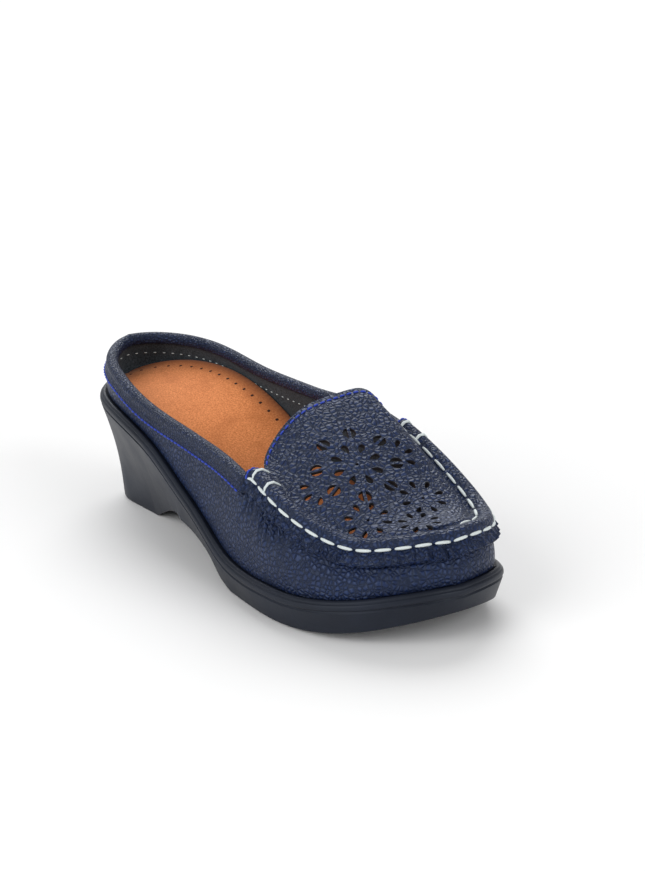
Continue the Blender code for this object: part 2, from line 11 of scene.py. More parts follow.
import bpy
import numpy as np
from mathutils import Matrix, Vector
from mathutils.bvhtree import BVHTree


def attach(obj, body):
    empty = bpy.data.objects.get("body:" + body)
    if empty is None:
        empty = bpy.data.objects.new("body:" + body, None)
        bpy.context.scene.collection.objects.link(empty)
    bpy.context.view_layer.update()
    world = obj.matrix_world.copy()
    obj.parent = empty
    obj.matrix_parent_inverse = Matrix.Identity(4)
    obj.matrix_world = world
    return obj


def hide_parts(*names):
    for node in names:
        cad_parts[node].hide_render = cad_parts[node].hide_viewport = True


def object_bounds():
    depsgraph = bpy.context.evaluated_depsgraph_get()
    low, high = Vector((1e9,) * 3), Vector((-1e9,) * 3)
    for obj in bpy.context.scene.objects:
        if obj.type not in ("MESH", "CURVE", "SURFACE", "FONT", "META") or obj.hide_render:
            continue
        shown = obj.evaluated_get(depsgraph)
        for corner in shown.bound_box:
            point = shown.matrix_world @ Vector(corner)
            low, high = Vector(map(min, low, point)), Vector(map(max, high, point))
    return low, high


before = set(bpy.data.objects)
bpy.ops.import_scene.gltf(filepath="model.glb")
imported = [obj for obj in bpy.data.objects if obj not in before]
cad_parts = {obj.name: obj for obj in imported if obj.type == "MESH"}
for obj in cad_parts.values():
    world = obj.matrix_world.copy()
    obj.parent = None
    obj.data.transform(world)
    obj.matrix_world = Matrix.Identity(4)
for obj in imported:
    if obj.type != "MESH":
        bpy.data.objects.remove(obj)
cad_box = [[float(c) for c in corner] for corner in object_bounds()]
bpy.ops.object.select_all(action="DESELECT")
print("nodes", sorted(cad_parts), "box", cad_box)

# %% [markdown]
# ## Camera, light and floor
#
# The camera comes first, because every comparison with the photograph depends on it. Its place
# and turn were found by laying the solids' outline over the photograph's. The light is a white
# room and three wide, soft suns: leather shows its grain only where a light is mirrored in it.

# %% Camera
CAMERA_AT = (0.84570, -0.54379, 0.39454)
CAMERA_TURN = (71.153, 1.554, 55.572)
CAMERA_LENS = 105.24

camera_data = bpy.data.cameras.new("camera")
camera_data.lens = CAMERA_LENS
camera_data.sensor_width = 36
camera_data.clip_start = 0.01
camera = bpy.data.objects.new("camera", camera_data)
camera.location = CAMERA_AT
camera.rotation_euler = [math.radians(angle) for angle in CAMERA_TURN]
bpy.context.scene.collection.objects.link(camera)
bpy.context.scene.camera = camera

# %% Lights and floor
bpy.context.scene.view_settings.view_transform = "Standard"
world = bpy.data.worlds.new("room")
world.use_nodes = True
world.node_tree.nodes["Background"].inputs["Color"].default_value = (1, 1, 1, 1)
world.node_tree.nodes["Background"].inputs["Strength"].default_value = 0.40
bpy.context.scene.world = world

LIGHTS = {
    "key": ((0.00, -1.00, 0.55), 50, 1.45),
    "back": ((-0.75, 0.45, 0.75), 46, 1.85),
    "front": ((1.00, 0.30, 0.50), 40, 0.95),
}
for light_name, (place, spread, strength) in LIGHTS.items():
    light_data = bpy.data.lights.new(light_name, "SUN")
    light_data.angle = math.radians(spread)
    light_data.energy = strength
    light = bpy.data.objects.new(light_name, light_data)
    light.location = place
    light.rotation_euler = (-Vector(place)).to_track_quat("-Z", "Y").to_euler()
    bpy.context.scene.collection.objects.link(light)

FLOOR_WIDTH = 12
bpy.ops.mesh.primitive_plane_add(size=FLOOR_WIDTH)
floor = bpy.context.object
floor.name = "floor"
floor_paint = bpy.data.materials.new("floor_paint")
floor_paint.use_nodes = True
floor_shader = floor_paint.node_tree.nodes["Principled BSDF"]
floor_shader.inputs["Base Color"].default_value = (0.93, 0.93, 0.93, 1)
floor_shader.inputs["Roughness"].default_value = 0.9
floor_shader.inputs["Specular IOR Level"].default_value = 0.0
floor.data.materials.append(floor_paint)

# %% [markdown]
# ## The shoe's own sizes
#
# A last maker works from a few sizes and from sections. The tables below hold each section as
# shares of those sizes. They are the solids' own, apart from a shallow valley behind the seam's
# ridge, so a point found here lies on the solid's face. The stations go round the shoe: heel,
# outer side, toe, inner side.

# %% Named sizes
LENGTH = 0.2500
BALL_WIDTH = 0.0918
HEEL_HEIGHT = 0.0455
FOREFOOT_HEIGHT = 0.0110
TOE_SPRING = 0.0130
ARCH_HEIGHT = 0.0152
TOE_SWING = 0.0047
UPPER_HEIGHT = 0.0240
VAMP_LEAN = 0.0080
BED_HEIGHT = 0.0125
GAP = 0.0003
BEAD_HEIGHT = 0.0040
BEAD_REACH = 0.0026
FOOT_INSET = 0.0034
HEEL_TIP_BACK = 0.0158
HEEL_TIP_FRONT = 0.0550
HEEL_TIP_WIDTH = 0.0350
HEEL_TIP_ROUND = 0.50
HEEL_TIP_SQUARE = 2.5
HEEL_WIDENING = 0.0480
HEEL_HOLLOW = 0.0016
HEEL_SEAT_FRONT = 0.0600
BREAST_RAKE = 0.0045
BREAST_HOLLOW = 0.0022
HOLLOW_END = 0.42
SPRING_START = 0.75
TREAD_DEPTH = 0.0012
TREAD_WIDTH = 0.0022
TREAD_PITCH = 0.0075
TREAD_MARGIN = 0.0070
TREAD_BACK = 0.62
TREAD_FRONT = 0.93
WALL = 0.0018
APRON_LEATHER = 0.0016
WALL_BULGE = 0.30
WALL_SWELL = 0.0005
BED_CUP = 0.0020
BED_ROUND = 0.0008
BED_ROUND_DROP = 0.0006
COLLAR_DEPTH = 0.0058
ROLL_WIDTH = 0.0046
ROLL_HEIGHT = 0.0028
ROLL_REACH = 0.16
THROAT_OUTER = 0.0915
THROAT_INNER = 0.0855
RIDGE_WIDTH = 0.0062
RIDGE_HEIGHT = 0.0043
LIP_DROP = 0.0046
LIP_FLARE = 0.0012
THROAT_DIP = 0.0102
APRON_CROWN = 0.0170
CREST_FLATNESS = 5.0
DIP_FLATNESS = 6.0
SEAM_LEAD = 0.0030
SEAM_RUN = 0.0075
PATTERN_BACK = 0.0620
PATTERN_ASIDE = -0.0017
PATTERN_TURN = 5.8
PETAL_TURN = -9.0
ROSE_RADIUS = 0.0083
DISC_RING_RADIUS = 0.0163
PETAL_LENGTH = 0.0049
PETAL_WIDTH = 0.0028
SMALL_ROSE_RADIUS = 0.0075
SMALL_PETAL_LENGTH = 0.0041
SMALL_PETAL_WIDTH = 0.0022
DISC_WIDTH = 0.0055
DISC_BAR = 0.0012
EYE_WIDTH = 0.0013
PETALS = 8
PUNCH_REACH = 0.0024
HEEL_STEPS = 10
WAIST_STEPS = 8
FRONT_STEPS = 16


# %% Section tables
def table(columns, rows):
    """Give rows of numbers as one array for each named column."""
    return dict(zip(columns.split(), np.array(rows, float).T))


OUTLINE = table("along outer inner", (
    (0.00, 0.000, 0.000), (0.03, 0.155, 0.188), (0.10, 0.277, 0.307), (0.20, 0.346, 0.356),
    (0.35, 0.386, 0.368), (0.50, 0.426, 0.392), (0.62, 0.481, 0.444), (0.74, 0.519, 0.481),
    (0.84, 0.488, 0.450), (0.92, 0.394, 0.369), (0.97, 0.243, 0.256), (1.00, 0.000, 0.000),
))
PROFILE = table("along rise outer_top inner_top outer_lean inner_lean outer_bed inner_bed", (
    (0.00, 0.97, 1.06, 1.06, 0.80, 0.80, 0.50, 0.54),
    (0.15, 1.01, 0.82, 0.95, 0.36, 0.48, 0.58, 1.00),
    (0.30, 0.86, 0.78, 1.03, 0.36, 0.44, 0.56, 1.16),
    (0.45, 0.44, 1.28, 1.62, 0.52, 0.48, 0.62, 1.08),
    (0.60, 0.03, 1.74, 2.18, 0.76, 0.40, 0.62, 0.90),
    (0.75, 0.00, 1.35, 1.66, 0.82, 0.40, 0.58, 0.62),
    (0.90, -0.03, 0.84, 0.95, 0.98, 0.08, 0.50, 0.50),
    (1.00, -0.13, 0.76, 0.76, 0.66, 0.66, 0.50, 0.50),
))
ARCH = table("along rise", (
    (0.22, 0.00), (0.26, 0.35), (0.30, 0.62), (0.34, 0.84), (0.39, 1.00), (0.44, 0.96),
    (0.48, 0.81), (0.52, 0.56), (0.56, 0.18), (0.60, 0.00),
))
BEAD = table("inwards up", (
    (1.35, 0.84), (0.95, 1.00), (0.60, 0.97), (0.34, 0.82), (0.32, 0.70),
    (0.08, 0.58), (0.00, 0.30), (0.08, 0.08), (0.36, -0.04), (0.16, -0.24),
))
COLLAR = table("down up outwards", (
    (1.00, 0.00, 0.29), (0.62, 0.00, 0.33), (0.34, 0.00, 0.28), (0.12, 0.00, 0.40),
    (0.00, 0.25, 0.43), (0.00, 0.68, 0.30), (0.00, 0.95, 0.06), (0.00, 1.00, -0.22),
    (0.00, 0.82, -0.50), (0.00, 0.42, -0.70), (0.06, 0.00, -0.74), (0.22, 0.00, -0.64),
))
RIDGE = table("outwards up", (
    (0.00, 0.00), (0.03, 0.34), (-0.14, 0.80), (-0.44, 1.00),
    (-0.74, 0.92), (-0.97, 0.70), (-1.14, 0.57), (-1.30, 0.59), (-1.45, 0.69),
))
CROWN = table("along height shift dip", (
    (0.00, 1.00, 0.44, 1.00), (0.15, 0.62, 0.33, 0.33), (0.30, 0.33, 0.22, 0.03),
    (0.45, 0.22, 0.14, 0.00), (0.60, 0.15, 0.11, 0.00), (0.75, 0.08, 0.11, 0.00),
    (0.90, 0.03, 0.11, 0.00), (1.00, 0.00, 0.11, 0.00),
))
PETAL = table("ahead aside", ((-0.50, 0.00), (-0.30, 0.24), (-0.06, 0.44), (0.14, 0.50),
                              (0.32, 0.45), (0.46, 0.26), (0.50, 0.00)))
ROSES = table("ahead aside radius first petals", (
    (1.30, -0.81, 1.00, 0, 8), (1.48, 0.80, 1.00, 0, 8), (2.22, 0.01, 0.88, 0, 8),
    (-0.14, -1.02, 0.94, 5, 3), (0.28, 0.94, 0.94, 1, 3),
))

# %% [markdown]
# ## Stations round the shoe
#
# Each side of the shoe is cut in stations, closer together where it curves most. The solids
# have 70 of them; here each step between two stations is cut in ten, which is fine enough that
# no straight edge shows in the outline.

# %% Rings and sections
FINE = 10
BREAST_STATION = HEEL_STEPS * FINE
THROAT_STATION = (HEEL_STEPS + WAIST_STEPS + 1) * FINE


def turn_of(along):
    """Angle round the shoe of a share of its length: 0 at the heel, pi at the toe."""
    return np.arccos(1 - 2 * np.asarray(along, float))


def smooth(tab, name, along):
    """Read a column at shares of the length, through a smooth curve on its rows."""
    knots = turn_of(tab["along"])
    values = tab[name]
    turns = np.clip(turn_of(along), knots[0], knots[-1])
    slopes = np.gradient(values, knots)
    slopes[1:-1] = (values[2:] - values[:-2]) / (knots[2:] - knots[:-2])
    low = np.clip(np.searchsorted(knots, turns, side="right") - 1, 0, len(knots) - 2)
    step = knots[low + 1] - knots[low]
    x = (turns - knots[low]) / step
    start = (1 + 2 * x) * (1 - x) ** 2 * values[low] + x * (1 - x) ** 2 * step * slopes[low]
    end = x * x * (3 - 2 * x) * values[low + 1] + x * x * (x - 1) * step * slopes[low + 1]
    return start + end


def side_stations(throat_back):
    """Shares of the length of one side's fine stations."""
    breast = turn_of(HEEL_SEAT_FRONT / LENGTH)
    arch = turn_of((HEEL_SEAT_FRONT + BREAST_RAKE) / LENGTH)
    throat = turn_of(1 - throat_back / LENGTH)
    heel_part = np.linspace(0, breast, HEEL_STEPS + 1)
    waist_part = np.linspace(arch, throat, WAIST_STEPS + 1)
    front_part = np.linspace(throat, math.pi, FRONT_STEPS + 1)[1:]
    coarse = np.concatenate([heel_part, waist_part, front_part])
    places = np.arange((len(coarse) - 1) * FINE + 1) / FINE
    turns = np.interp(places, np.arange(len(coarse)), coarse)
    return (1 - np.cos(turns)) / 2


def ring_of(outer, inner):
    """Join the values of both sides to one ring: heel, outer side, toe, inner side."""
    return np.concatenate([outer, inner[-2:0:-1]])


OUTER_SHARES = side_stations(THROAT_OUTER)
INNER_SHARES = side_stations(THROAT_INNER)
RING_SHARES = ring_of(OUTER_SHARES, INNER_SHARES)
SIDE = len(OUTER_SHARES) - 1
COUNT = 2 * SIDE
SIDE_SIGN = ring_of(-np.ones(SIDE + 1), np.ones(SIDE + 1))


def column_ring(tab, outer_name, inner_name):
    """Ring of a table's columns for the outer and the inner side."""
    return ring_of(smooth(tab, outer_name, OUTER_SHARES), smooth(tab, inner_name, INNER_SHARES))


def normals_of(plan):
    """Outward normals in plan of a ring."""
    along = np.roll(plan, -1, axis=0) - np.roll(plan, 1, axis=0)
    normals = np.stack([along[:, 1], -along[:, 0]], axis=1)
    return normals / np.linalg.norm(normals, axis=1)[:, None]


def inset(plan, distance):
    """Move a ring inwards by a distance, or by one distance for each station."""
    return plan - normals_of(plan) * np.reshape(distance, (-1, 1))


def level(plan, height):
    """Give a plan ring its heights."""
    return np.column_stack([plan, np.broadcast_to(height, len(plan))])


def rim_plan():
    """Plan of the sole's widest line, centred on the origin."""
    swing = np.clip((RING_SHARES - 0.5) / 0.5, 0, 1)
    centre = TOE_SWING * swing ** 2 * (3 - 2 * swing)
    half_width = BALL_WIDTH * column_ring(OUTLINE, "outer", "inner")
    plan = np.column_stack([LENGTH * RING_SHARES, centre + SIDE_SIGN * half_width])
    return plan - (plan.min(axis=0) + plan.max(axis=0)) / 2


RIM = rim_plan()
RIM[:, 1] += (cad_box[0][1] + cad_box[1][1]) / 2
HEEL_X = RIM[0, 0]
TOE_X = HEEL_X + LENGTH


def spring(x):
    """Lift of the toe end at a place along the shoe."""
    share = np.clip(((x - HEEL_X) / LENGTH - SPRING_START) / (1 - SPRING_START), 0, 1)
    return TOE_SPRING * share ** 2


RISE = column_ring(PROFILE, "rise", "rise")
RIM_HEIGHT = FOREFOOT_HEIGHT + (HEEL_HEIGHT - FOREFOOT_HEIGHT) * RISE + spring(RIM[:, 0])
SEAT_HEIGHT = RIM_HEIGHT + BEAD_HEIGHT * BEAD["up"][0]
FOOT = level(inset(RIM, BEAD_REACH * BEAD["inwards"][0] + GAP), SEAT_HEIGHT + GAP)


def top_rail():
    """The line that shows at the top: middle of the collar's roll, then the apron's stitches."""
    lean = VAMP_LEAN * column_ring(PROFILE, "outer_lean", "inner_lean")
    plan = inset(inset(RIM, BEAD_REACH), lean)
    height = UPPER_HEIGHT * column_ring(PROFILE, "outer_top", "inner_top")
    return level(plan, RIM_HEIGHT + height)


def wall_top(rail):
    """Outer face of the upper's upper edge, under the collar or under the apron's seam."""
    outer = THROAT_OUTER - LENGTH * (1 - OUTER_SHARES)
    inner = THROAT_INNER - LENGTH * (1 - INNER_SHARES)
    front = np.clip((ring_of(outer, inner) + SEAM_LEAD) / SEAM_RUN, 0, 1)
    front = front ** 2 * (3 - 2 * front)
    under_seam = GAP + APRON_LEATHER
    under_roll = ROLL_WIDTH * ROLL_REACH
    plan = inset(rail[:, :2], front * under_seam - (1 - front) * under_roll)
    return level(plan, rail[:, 2] - front * GAP - (1 - front) * ROLL_HEIGHT)


TOP = wall_top(top_rail())
CHORD = TOP - FOOT
WALL_HEIGHT = np.linalg.norm(CHORD, axis=1)
OUTWARDS = normals_of(RIM)


def wall_at(share):
    """Ring on the upper's outer face, at a share of its wall's height for each station."""
    share = np.broadcast_to(share, COUNT)
    lean = np.maximum(-(CHORD[:, :2] * OUTWARDS).sum(axis=1), 0)
    swell = (WALL_SWELL + WALL_BULGE * lean) * np.sin(math.pi * np.clip(share, 0, 1) ** 0.9)
    ring = FOOT + CHORD * share[:, None]
    ring[:, :2] += OUTWARDS * swell[:, None]
    return ring


def wall_frame(depth):
    """Ring at a depth below the wall's top, with its outward normals and its upward lines."""
    ring = wall_at(1 - depth / WALL_HEIGHT)
    up = ring - wall_at(1 - (depth + WALL) / WALL_HEIGHT)
    up /= np.linalg.norm(up, axis=1)[:, None]
    along = np.roll(ring, -1, axis=0) - np.roll(ring, 1, axis=0)
    out = np.cross(along, up)
    out /= np.linalg.norm(out, axis=1)[:, None]
    return ring, out, up


def beside_wall(down, up, outwards):
    """Ring beside the wall: down its face or up over its top, then outwards from it."""
    ring, out, rising = wall_frame(down)
    return ring + out * outwards + rising * up


def rounded(tab, steps):
    """Rows on a smooth curve through a table's rows."""
    rows = np.column_stack(list(tab.values()))
    padded = np.vstack([2 * rows[0] - rows[1], rows, 2 * rows[-1] - rows[-2]])
    out = []
    for a, b, c, d in zip(padded, padded[1:], padded[2:], padded[3:]):
        for t in np.arange(steps) / steps:
            bend = (2 * a - 5 * b + 4 * c - d) * t * t + (3 * b - a - 3 * c + d) * t ** 3
            out.append(b + ((c - a) * t + bend) / 2)
    return np.array([*out, rows[-1]])


print("stations", COUNT, "wall height at the toe, mm", round(WALL_HEIGHT[SIDE] * 1000, 1))

# %% [markdown]
# ## Helpers for laying a grid on sections
#
# Blender's grid primitive is a net of squares. Its rows are laid on the shoe's rings one by
# one, its meeting edges are merged, and its faces are turned outwards. What closes a ring from
# side to side, such as the underside of the sole, is a second grid that is joined to the first.


# %% Grid pieces
def only(piece):
    """Select one piece and make it active."""
    bpy.ops.object.select_all(action="DESELECT")
    piece.select_set(True)
    bpy.context.view_layer.objects.active = piece


def lay_grid(name, rows):
    """Add a grid primitive and lay its points on rows of places."""
    rows = np.asarray(rows, float)
    down, across = rows.shape[:2]
    bpy.ops.object.select_all(action="DESELECT")
    bpy.ops.mesh.primitive_grid_add(x_subdivisions=across - 1, y_subdivisions=down - 1, size=1)
    piece = bpy.context.object
    piece.name = name
    piece.data.name = name
    piece.data.vertices.foreach_set("co", rows.reshape(-1))
    piece.data.update()
    return piece


def from_lists(name, verts, faces):
    """Add a piece from lists of points and faces."""
    mesh = bpy.data.meshes.new(name)
    mesh.from_pydata([tuple(v) for v in verts], [], faces)
    piece = bpy.data.objects.new(name, mesh)
    bpy.context.scene.collection.objects.link(piece)
    return piece


def closed_round(rows):
    """Repeat the first station of each ring at its end."""
    rows = np.asarray(rows, float)
    return np.concatenate([rows, rows[:, :1]], axis=1)


def cap_rows(ring, steps, shape=None):
    """Strips from side to side that close a ring; shape moves the points between its edges."""
    places = np.linspace(-1, 1, steps + 1)
    rows = []
    for i in range(SIDE + 1):
        left, right = ring[i], ring[-i % COUNT]
        row = left + (right - left) * ((places + 1) / 2)[:, None]
        if shape is not None and 0 < i < SIDE:
            row = row + shape(i, places)
        rows.append(row)
    return np.array(rows)


def sew(pieces, name):
    """Join pieces, merge the points that meet and turn all faces outwards."""
    bpy.ops.object.select_all(action="DESELECT")
    for piece in pieces:
        piece.select_set(True)
    bpy.context.view_layer.objects.active = pieces[0]
    if len(pieces) > 1:
        bpy.ops.object.join()
    whole = bpy.context.object
    whole.name = name
    whole.data.name = name
    bpy.ops.object.mode_set(mode="EDIT")
    bpy.ops.mesh.select_all(action="SELECT")
    bpy.ops.mesh.remove_doubles(threshold=0.000002)
    bpy.ops.mesh.dissolve_degenerate(threshold=0.000001)
    bpy.ops.mesh.normals_make_consistent(inside=False)
    bpy.ops.object.mode_set(mode="OBJECT")
    return whole


def apply_modifiers(piece):
    """Apply all modifiers of a piece."""
    only(piece)
    for modifier in list(piece.modifiers):
        bpy.ops.object.modifier_apply(modifier=modifier.name)


def shade(piece, angle):
    """Shade smooth, with edges sharper than an angle kept."""
    only(piece)
    bpy.ops.object.shade_smooth_by_angle(angle=math.radians(angle))


def deliver(piece, slot, *nodes):
    """Put a finished piece on the shoe's body, for the nodes it stands for."""
    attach(piece, "root")
    if nodes:
        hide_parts(*nodes)
    print(piece.name, len(piece.data.polygons), "faces")


# %% [markdown]
# ## Finishes
#
# Tumbled leather is a net of soft cells with creases between them, and a gloss that is
# broken by the cells; the creases are darkened in colour, partly the grain's own tone and partly
# painted shade. Suede is a dull nap without gloss. The sole is moulded with a fine grain.
# All patterns read Object coordinates, so that they keep their real scale in metres.


# %% Node helpers
def new_finish(name, colour, roughness):
    """A material with its shader's plain values set."""
    finish = bpy.data.materials.new(name)
    finish.use_nodes = True
    shader = finish.node_tree.nodes["Principled BSDF"]
    shader.inputs["Base Color"].default_value = (*colour, 1)
    shader.inputs["Roughness"].default_value = roughness
    return finish, finish.node_tree, shader


def add_node(tree, kind, inputs=(), **settings):
    """Add a node with its settings, its values and its links."""
    made = tree.nodes.new(kind)
    for key, value in settings.items():
        setattr(made, key, value)
    for key, value in dict(inputs).items():
        if isinstance(value, bpy.types.NodeSocket):
            tree.links.new(value, made.inputs[key])
        else:
            made.inputs[key].default_value = value
    return made


def noise(tree, place, per_metre, detail=3.0):
    """Soft noise of a real scale."""
    values = {"Vector": place, "Scale": per_metre, "Detail": detail}
    return add_node(tree, "ShaderNodeTexNoise", values).outputs["Fac"]


def remap(tree, value, low, high, to_low=0.0, to_high=1.0):
    """Bring a value from one range to another, clamped."""
    values = {"Value": value, "From Min": low, "From Max": high}
    values.update({"To Min": to_low, "To Max": to_high})
    return add_node(tree, "ShaderNodeMapRange", values).outputs["Result"]


def blend_colours(tree, share, first, second):
    """Mix two colours by a share."""
    values = {"Factor": share}
    mix = add_node(tree, "ShaderNodeMix", values, data_type="RGBA")
    for socket, colour in zip((mix.inputs[6], mix.inputs[7]), (first, second)):
        if isinstance(colour, bpy.types.NodeSocket):
            tree.links.new(colour, socket)
        else:
            socket.default_value = (*colour, 1)
    return mix.outputs[2]


def relief(tree, shader, layers):
    """Stack bump layers: height, depth in metres and strength of each."""
    normal = None
    for height, depth, strength in layers:
        values = {"Height": height, "Distance": depth, "Strength": strength}
        bump = add_node(tree, "ShaderNodeBump", values)
        if normal is not None:
            tree.links.new(normal, bump.inputs["Normal"])
        normal = bump.outputs["Normal"]
    tree.links.new(normal, shader.inputs["Normal"])


# %% Tumbled navy leather
def tumbled_leather(name, deep, worn, cell, roughness):
    """Navy leather with a net of creases; cell is the size of its grain in metres."""
    finish, tree, shader = new_finish(name, deep, roughness)
    place = add_node(tree, "ShaderNodeTexCoord").outputs["Object"]
    wander = {"Vector": place, "Scale": 0.4 / cell, "Detail": 1.0}
    bend = add_node(tree, "ShaderNodeTexNoise", wander).outputs["Color"]
    push = {0: bend, "Scale": 0.9 * cell}
    shift = add_node(tree, "ShaderNodeVectorMath", push, operation="SCALE").outputs[0]
    moved = {0: place, 1: shift}
    warped = add_node(tree, "ShaderNodeVectorMath", moved, operation="ADD").outputs[0]
    cells = {"Vector": warped, "Scale": 1 / cell}
    edges = add_node(tree, "ShaderNodeTexVoronoi", cells, feature="DISTANCE_TO_EDGE")
    crease = remap(tree, edges.outputs["Distance"], 0.0, 0.30)
    small = {"Vector": warped, "Scale": 2.4 / cell}
    pores = add_node(tree, "ShaderNodeTexVoronoi", small, feature="DISTANCE_TO_EDGE")
    pore = remap(tree, pores.outputs["Distance"], 0.0, 0.35)
    waves = noise(tree, place, 0.10 / cell, 3.0)
    tone = blend_colours(tree, remap(tree, waves, 0.35, 0.70), deep, worn)
    # The creases get a darker colour: partly the grain's own tone, partly painted shade in the
    # creases.
    crease_shade = tuple(0.35 * c for c in deep)
    tree.links.new(blend_colours(tree, crease, crease_shade, tone), shader.inputs["Base Color"])
    gloss = remap(tree, crease, 0, 1, roughness + 0.2, roughness)
    tree.links.new(gloss, shader.inputs["Roughness"])
    shader.inputs["Specular IOR Level"].default_value = 0.42
    shader.inputs["Specular Tint"].default_value = (0.68, 0.80, 1.0, 1)
    relief(tree, shader, ((waves, 0.0007, 0.4), (crease, 0.00036, 1.0), (pore, 0.00004, 0.4)))
    return finish


NAVY = (0.008, 0.017, 0.062)
NAVY_WORN = (0.015, 0.030, 0.096)
vamp_leather = tumbled_leather("vamp_leather", NAVY, NAVY_WORN, 0.0020, 0.36)
apron_leather = tumbled_leather("apron_leather", NAVY, NAVY_WORN, 0.0021, 0.34)
collar_leather = tumbled_leather("collar_leather", (0.008, 0.015, 0.052), (0.015, 0.027, 0.082),
                                 0.0014, 0.38)


# %% Suede lining, insole, cut edges, sole and threads
def napped(name, deep, pale, roughness, sheen, edge=None):
    """A dull nap: fine noise in colour and relief, and painted shade in "edge" where it is stored.
    """
    finish, tree, shader = new_finish(name, deep, roughness)
    place = add_node(tree, "ShaderNodeTexCoord").outputs["Object"]
    fine = noise(tree, place, 1500, 4.0)
    broad = noise(tree, place, 90, 3.0)
    fleck = blend_colours(tree, remap(tree, fine, 0.35, 0.68), deep, pale)
    darker = tuple(0.88 * c for c in deep)
    tone = blend_colours(tree, remap(tree, broad, 0.05, 0.50), darker, fleck)
    # Painted shade: the tone turns to the edge colour where the stored share is high.
    if edge is not None:
        share = add_node(tree, "ShaderNodeAttribute", attribute_name="edge").outputs["Fac"]
        tone = blend_colours(tree, share, tone, edge)
    tree.links.new(tone, shader.inputs["Base Color"])
    shader.inputs["Sheen Weight"].default_value = sheen
    shader.inputs["Sheen Roughness"].default_value = 0.5
    shader.inputs["Specular IOR Level"].default_value = 0.2
    relief(tree, shader, ((fine, 0.00012, 0.7),))
    return finish


lining_suede = napped("lining_suede", (0.014, 0.019, 0.024), (0.060, 0.072, 0.084), 0.95, 0.15)
# The insole's last colour is painted shade towards its edge.
insole_suede = napped("insole_suede", (0.560, 0.165, 0.045), (0.840, 0.310, 0.105), 0.88, 0.10,
                      edge=(0.270, 0.085, 0.032))

cut_edge, _, _ = new_finish("cut_edge", (0.010, 0.010, 0.014), 0.8)
# Pinholes: small dots in this colour stand in for holes; the colour is painted shade of a hole.
pinhole_shade, _, _ = new_finish("pinhole_shade", (0.030, 0.010, 0.006), 0.95)


def moulded_rubber(name, colour):
    """Black moulded sole: a fine pebbled grain and slightly dusty tone."""
    finish, tree, shader = new_finish(name, colour, 0.46)
    place = add_node(tree, "ShaderNodeTexCoord").outputs["Object"]
    grain = {"Vector": place, "Scale": 1500.0}
    pebble = add_node(tree, "ShaderNodeTexVoronoi", grain, feature="SMOOTH_F1").outputs["Distance"]
    cloud = noise(tree, place, 45, 5.0)
    shader.inputs["Specular IOR Level"].default_value = 0.30
    shader.inputs["Specular Tint"].default_value = (0.80, 0.88, 1.0, 1)
    pale = tuple(1.5 * c for c in colour)
    tone = blend_colours(tree, remap(tree, cloud, 0.35, 0.70), colour, pale)
    tree.links.new(tone, shader.inputs["Base Color"])
    tree.links.new(remap(tree, cloud, 0.3, 0.7, 0.40, 0.54), shader.inputs["Roughness"])
    relief(tree, shader, ((cloud, 0.0004, 0.3), (pebble, 0.00006, 0.5)))
    return finish


sole_rubber = moulded_rubber("sole_rubber", (0.008, 0.010, 0.017))


def spun_thread(name, colour):
    """Waxed thread: colour and a fine twist."""
    finish, tree, shader = new_finish(name, colour, 0.6)
    place = add_node(tree, "ShaderNodeTexCoord").outputs["Object"]
    relief(tree, shader, ((noise(tree, place, 3200), 0.00010, 0.6),))
    return finish


white_thread = spun_thread("white_thread", (0.66, 0.72, 0.72))
blue_thread = spun_thread("blue_thread", (0.012, 0.045, 0.42))
print("finishes", len(bpy.data.materials))

# %% [markdown]
# ## The moulded sole
#
# The sole is one moulding. Its top edge is a bead with fine ribs over a groove, its wall runs
# down to a flat tread, and a wedge lifts the heel. The bead's section is swept round the ring,
# the wall follows between the rim and the tread line, and two grids close top and bottom.


# %% Sole
def tread_ring():
    """Edge of the sole's underside: tip of the heel, then arch and forefoot."""
    plan = inset(RIM, FOOT_INSET)
    arch = ARCH_HEIGHT * smooth(ARCH, "rise", RING_SHARES)
    ring = level(plan, spring(plan[:, 0]) + arch)
    seat_x = RIM[BREAST_STATION, 0] - HEEL_X
    middle = (RIM[COUNT - BREAST_STATION, 1] + RIM[BREAST_STATION, 1]) / 2
    for i in range(COUNT):
        if min(i, COUNT - i) > BREAST_STATION:
            continue
        share = (RIM[i, 0] - HEEL_X) / seat_x
        x = HEEL_X + HEEL_TIP_BACK + (HEEL_TIP_FRONT - HEEL_TIP_BACK) * share
        corner = 1 - min(share / HEEL_TIP_ROUND, 1)
        half = HEEL_TIP_WIDTH / 2 * (1 - corner ** HEEL_TIP_SQUARE) ** (1 / HEEL_TIP_SQUARE)
        ring[i] = (x, middle + SIDE_SIGN[i] * half, 0)
    between = slice(BREAST_STATION + 1, COUNT - BREAST_STATION)
    wide = np.minimum((ring[between, 0] - HEEL_X - HEEL_TIP_FRONT) / HEEL_WIDENING, 1)
    narrow = middle + SIDE_SIGN[between] * HEEL_TIP_WIDTH / 2
    ring[between, 1] = narrow + (ring[between, 1] - narrow) * wide
    for k in range(1, FINE):
        for start, step in ((BREAST_STATION, 1), (COUNT - BREAST_STATION, -1)):
            heel, arch_start = ring[start], ring[start + step * FINE]
            ring[start + step * k] = heel + (arch_start - heel) * k / FINE
    return ring


FOOT_ROUND = 0.0009
TREAD_EDGE = tread_ring()


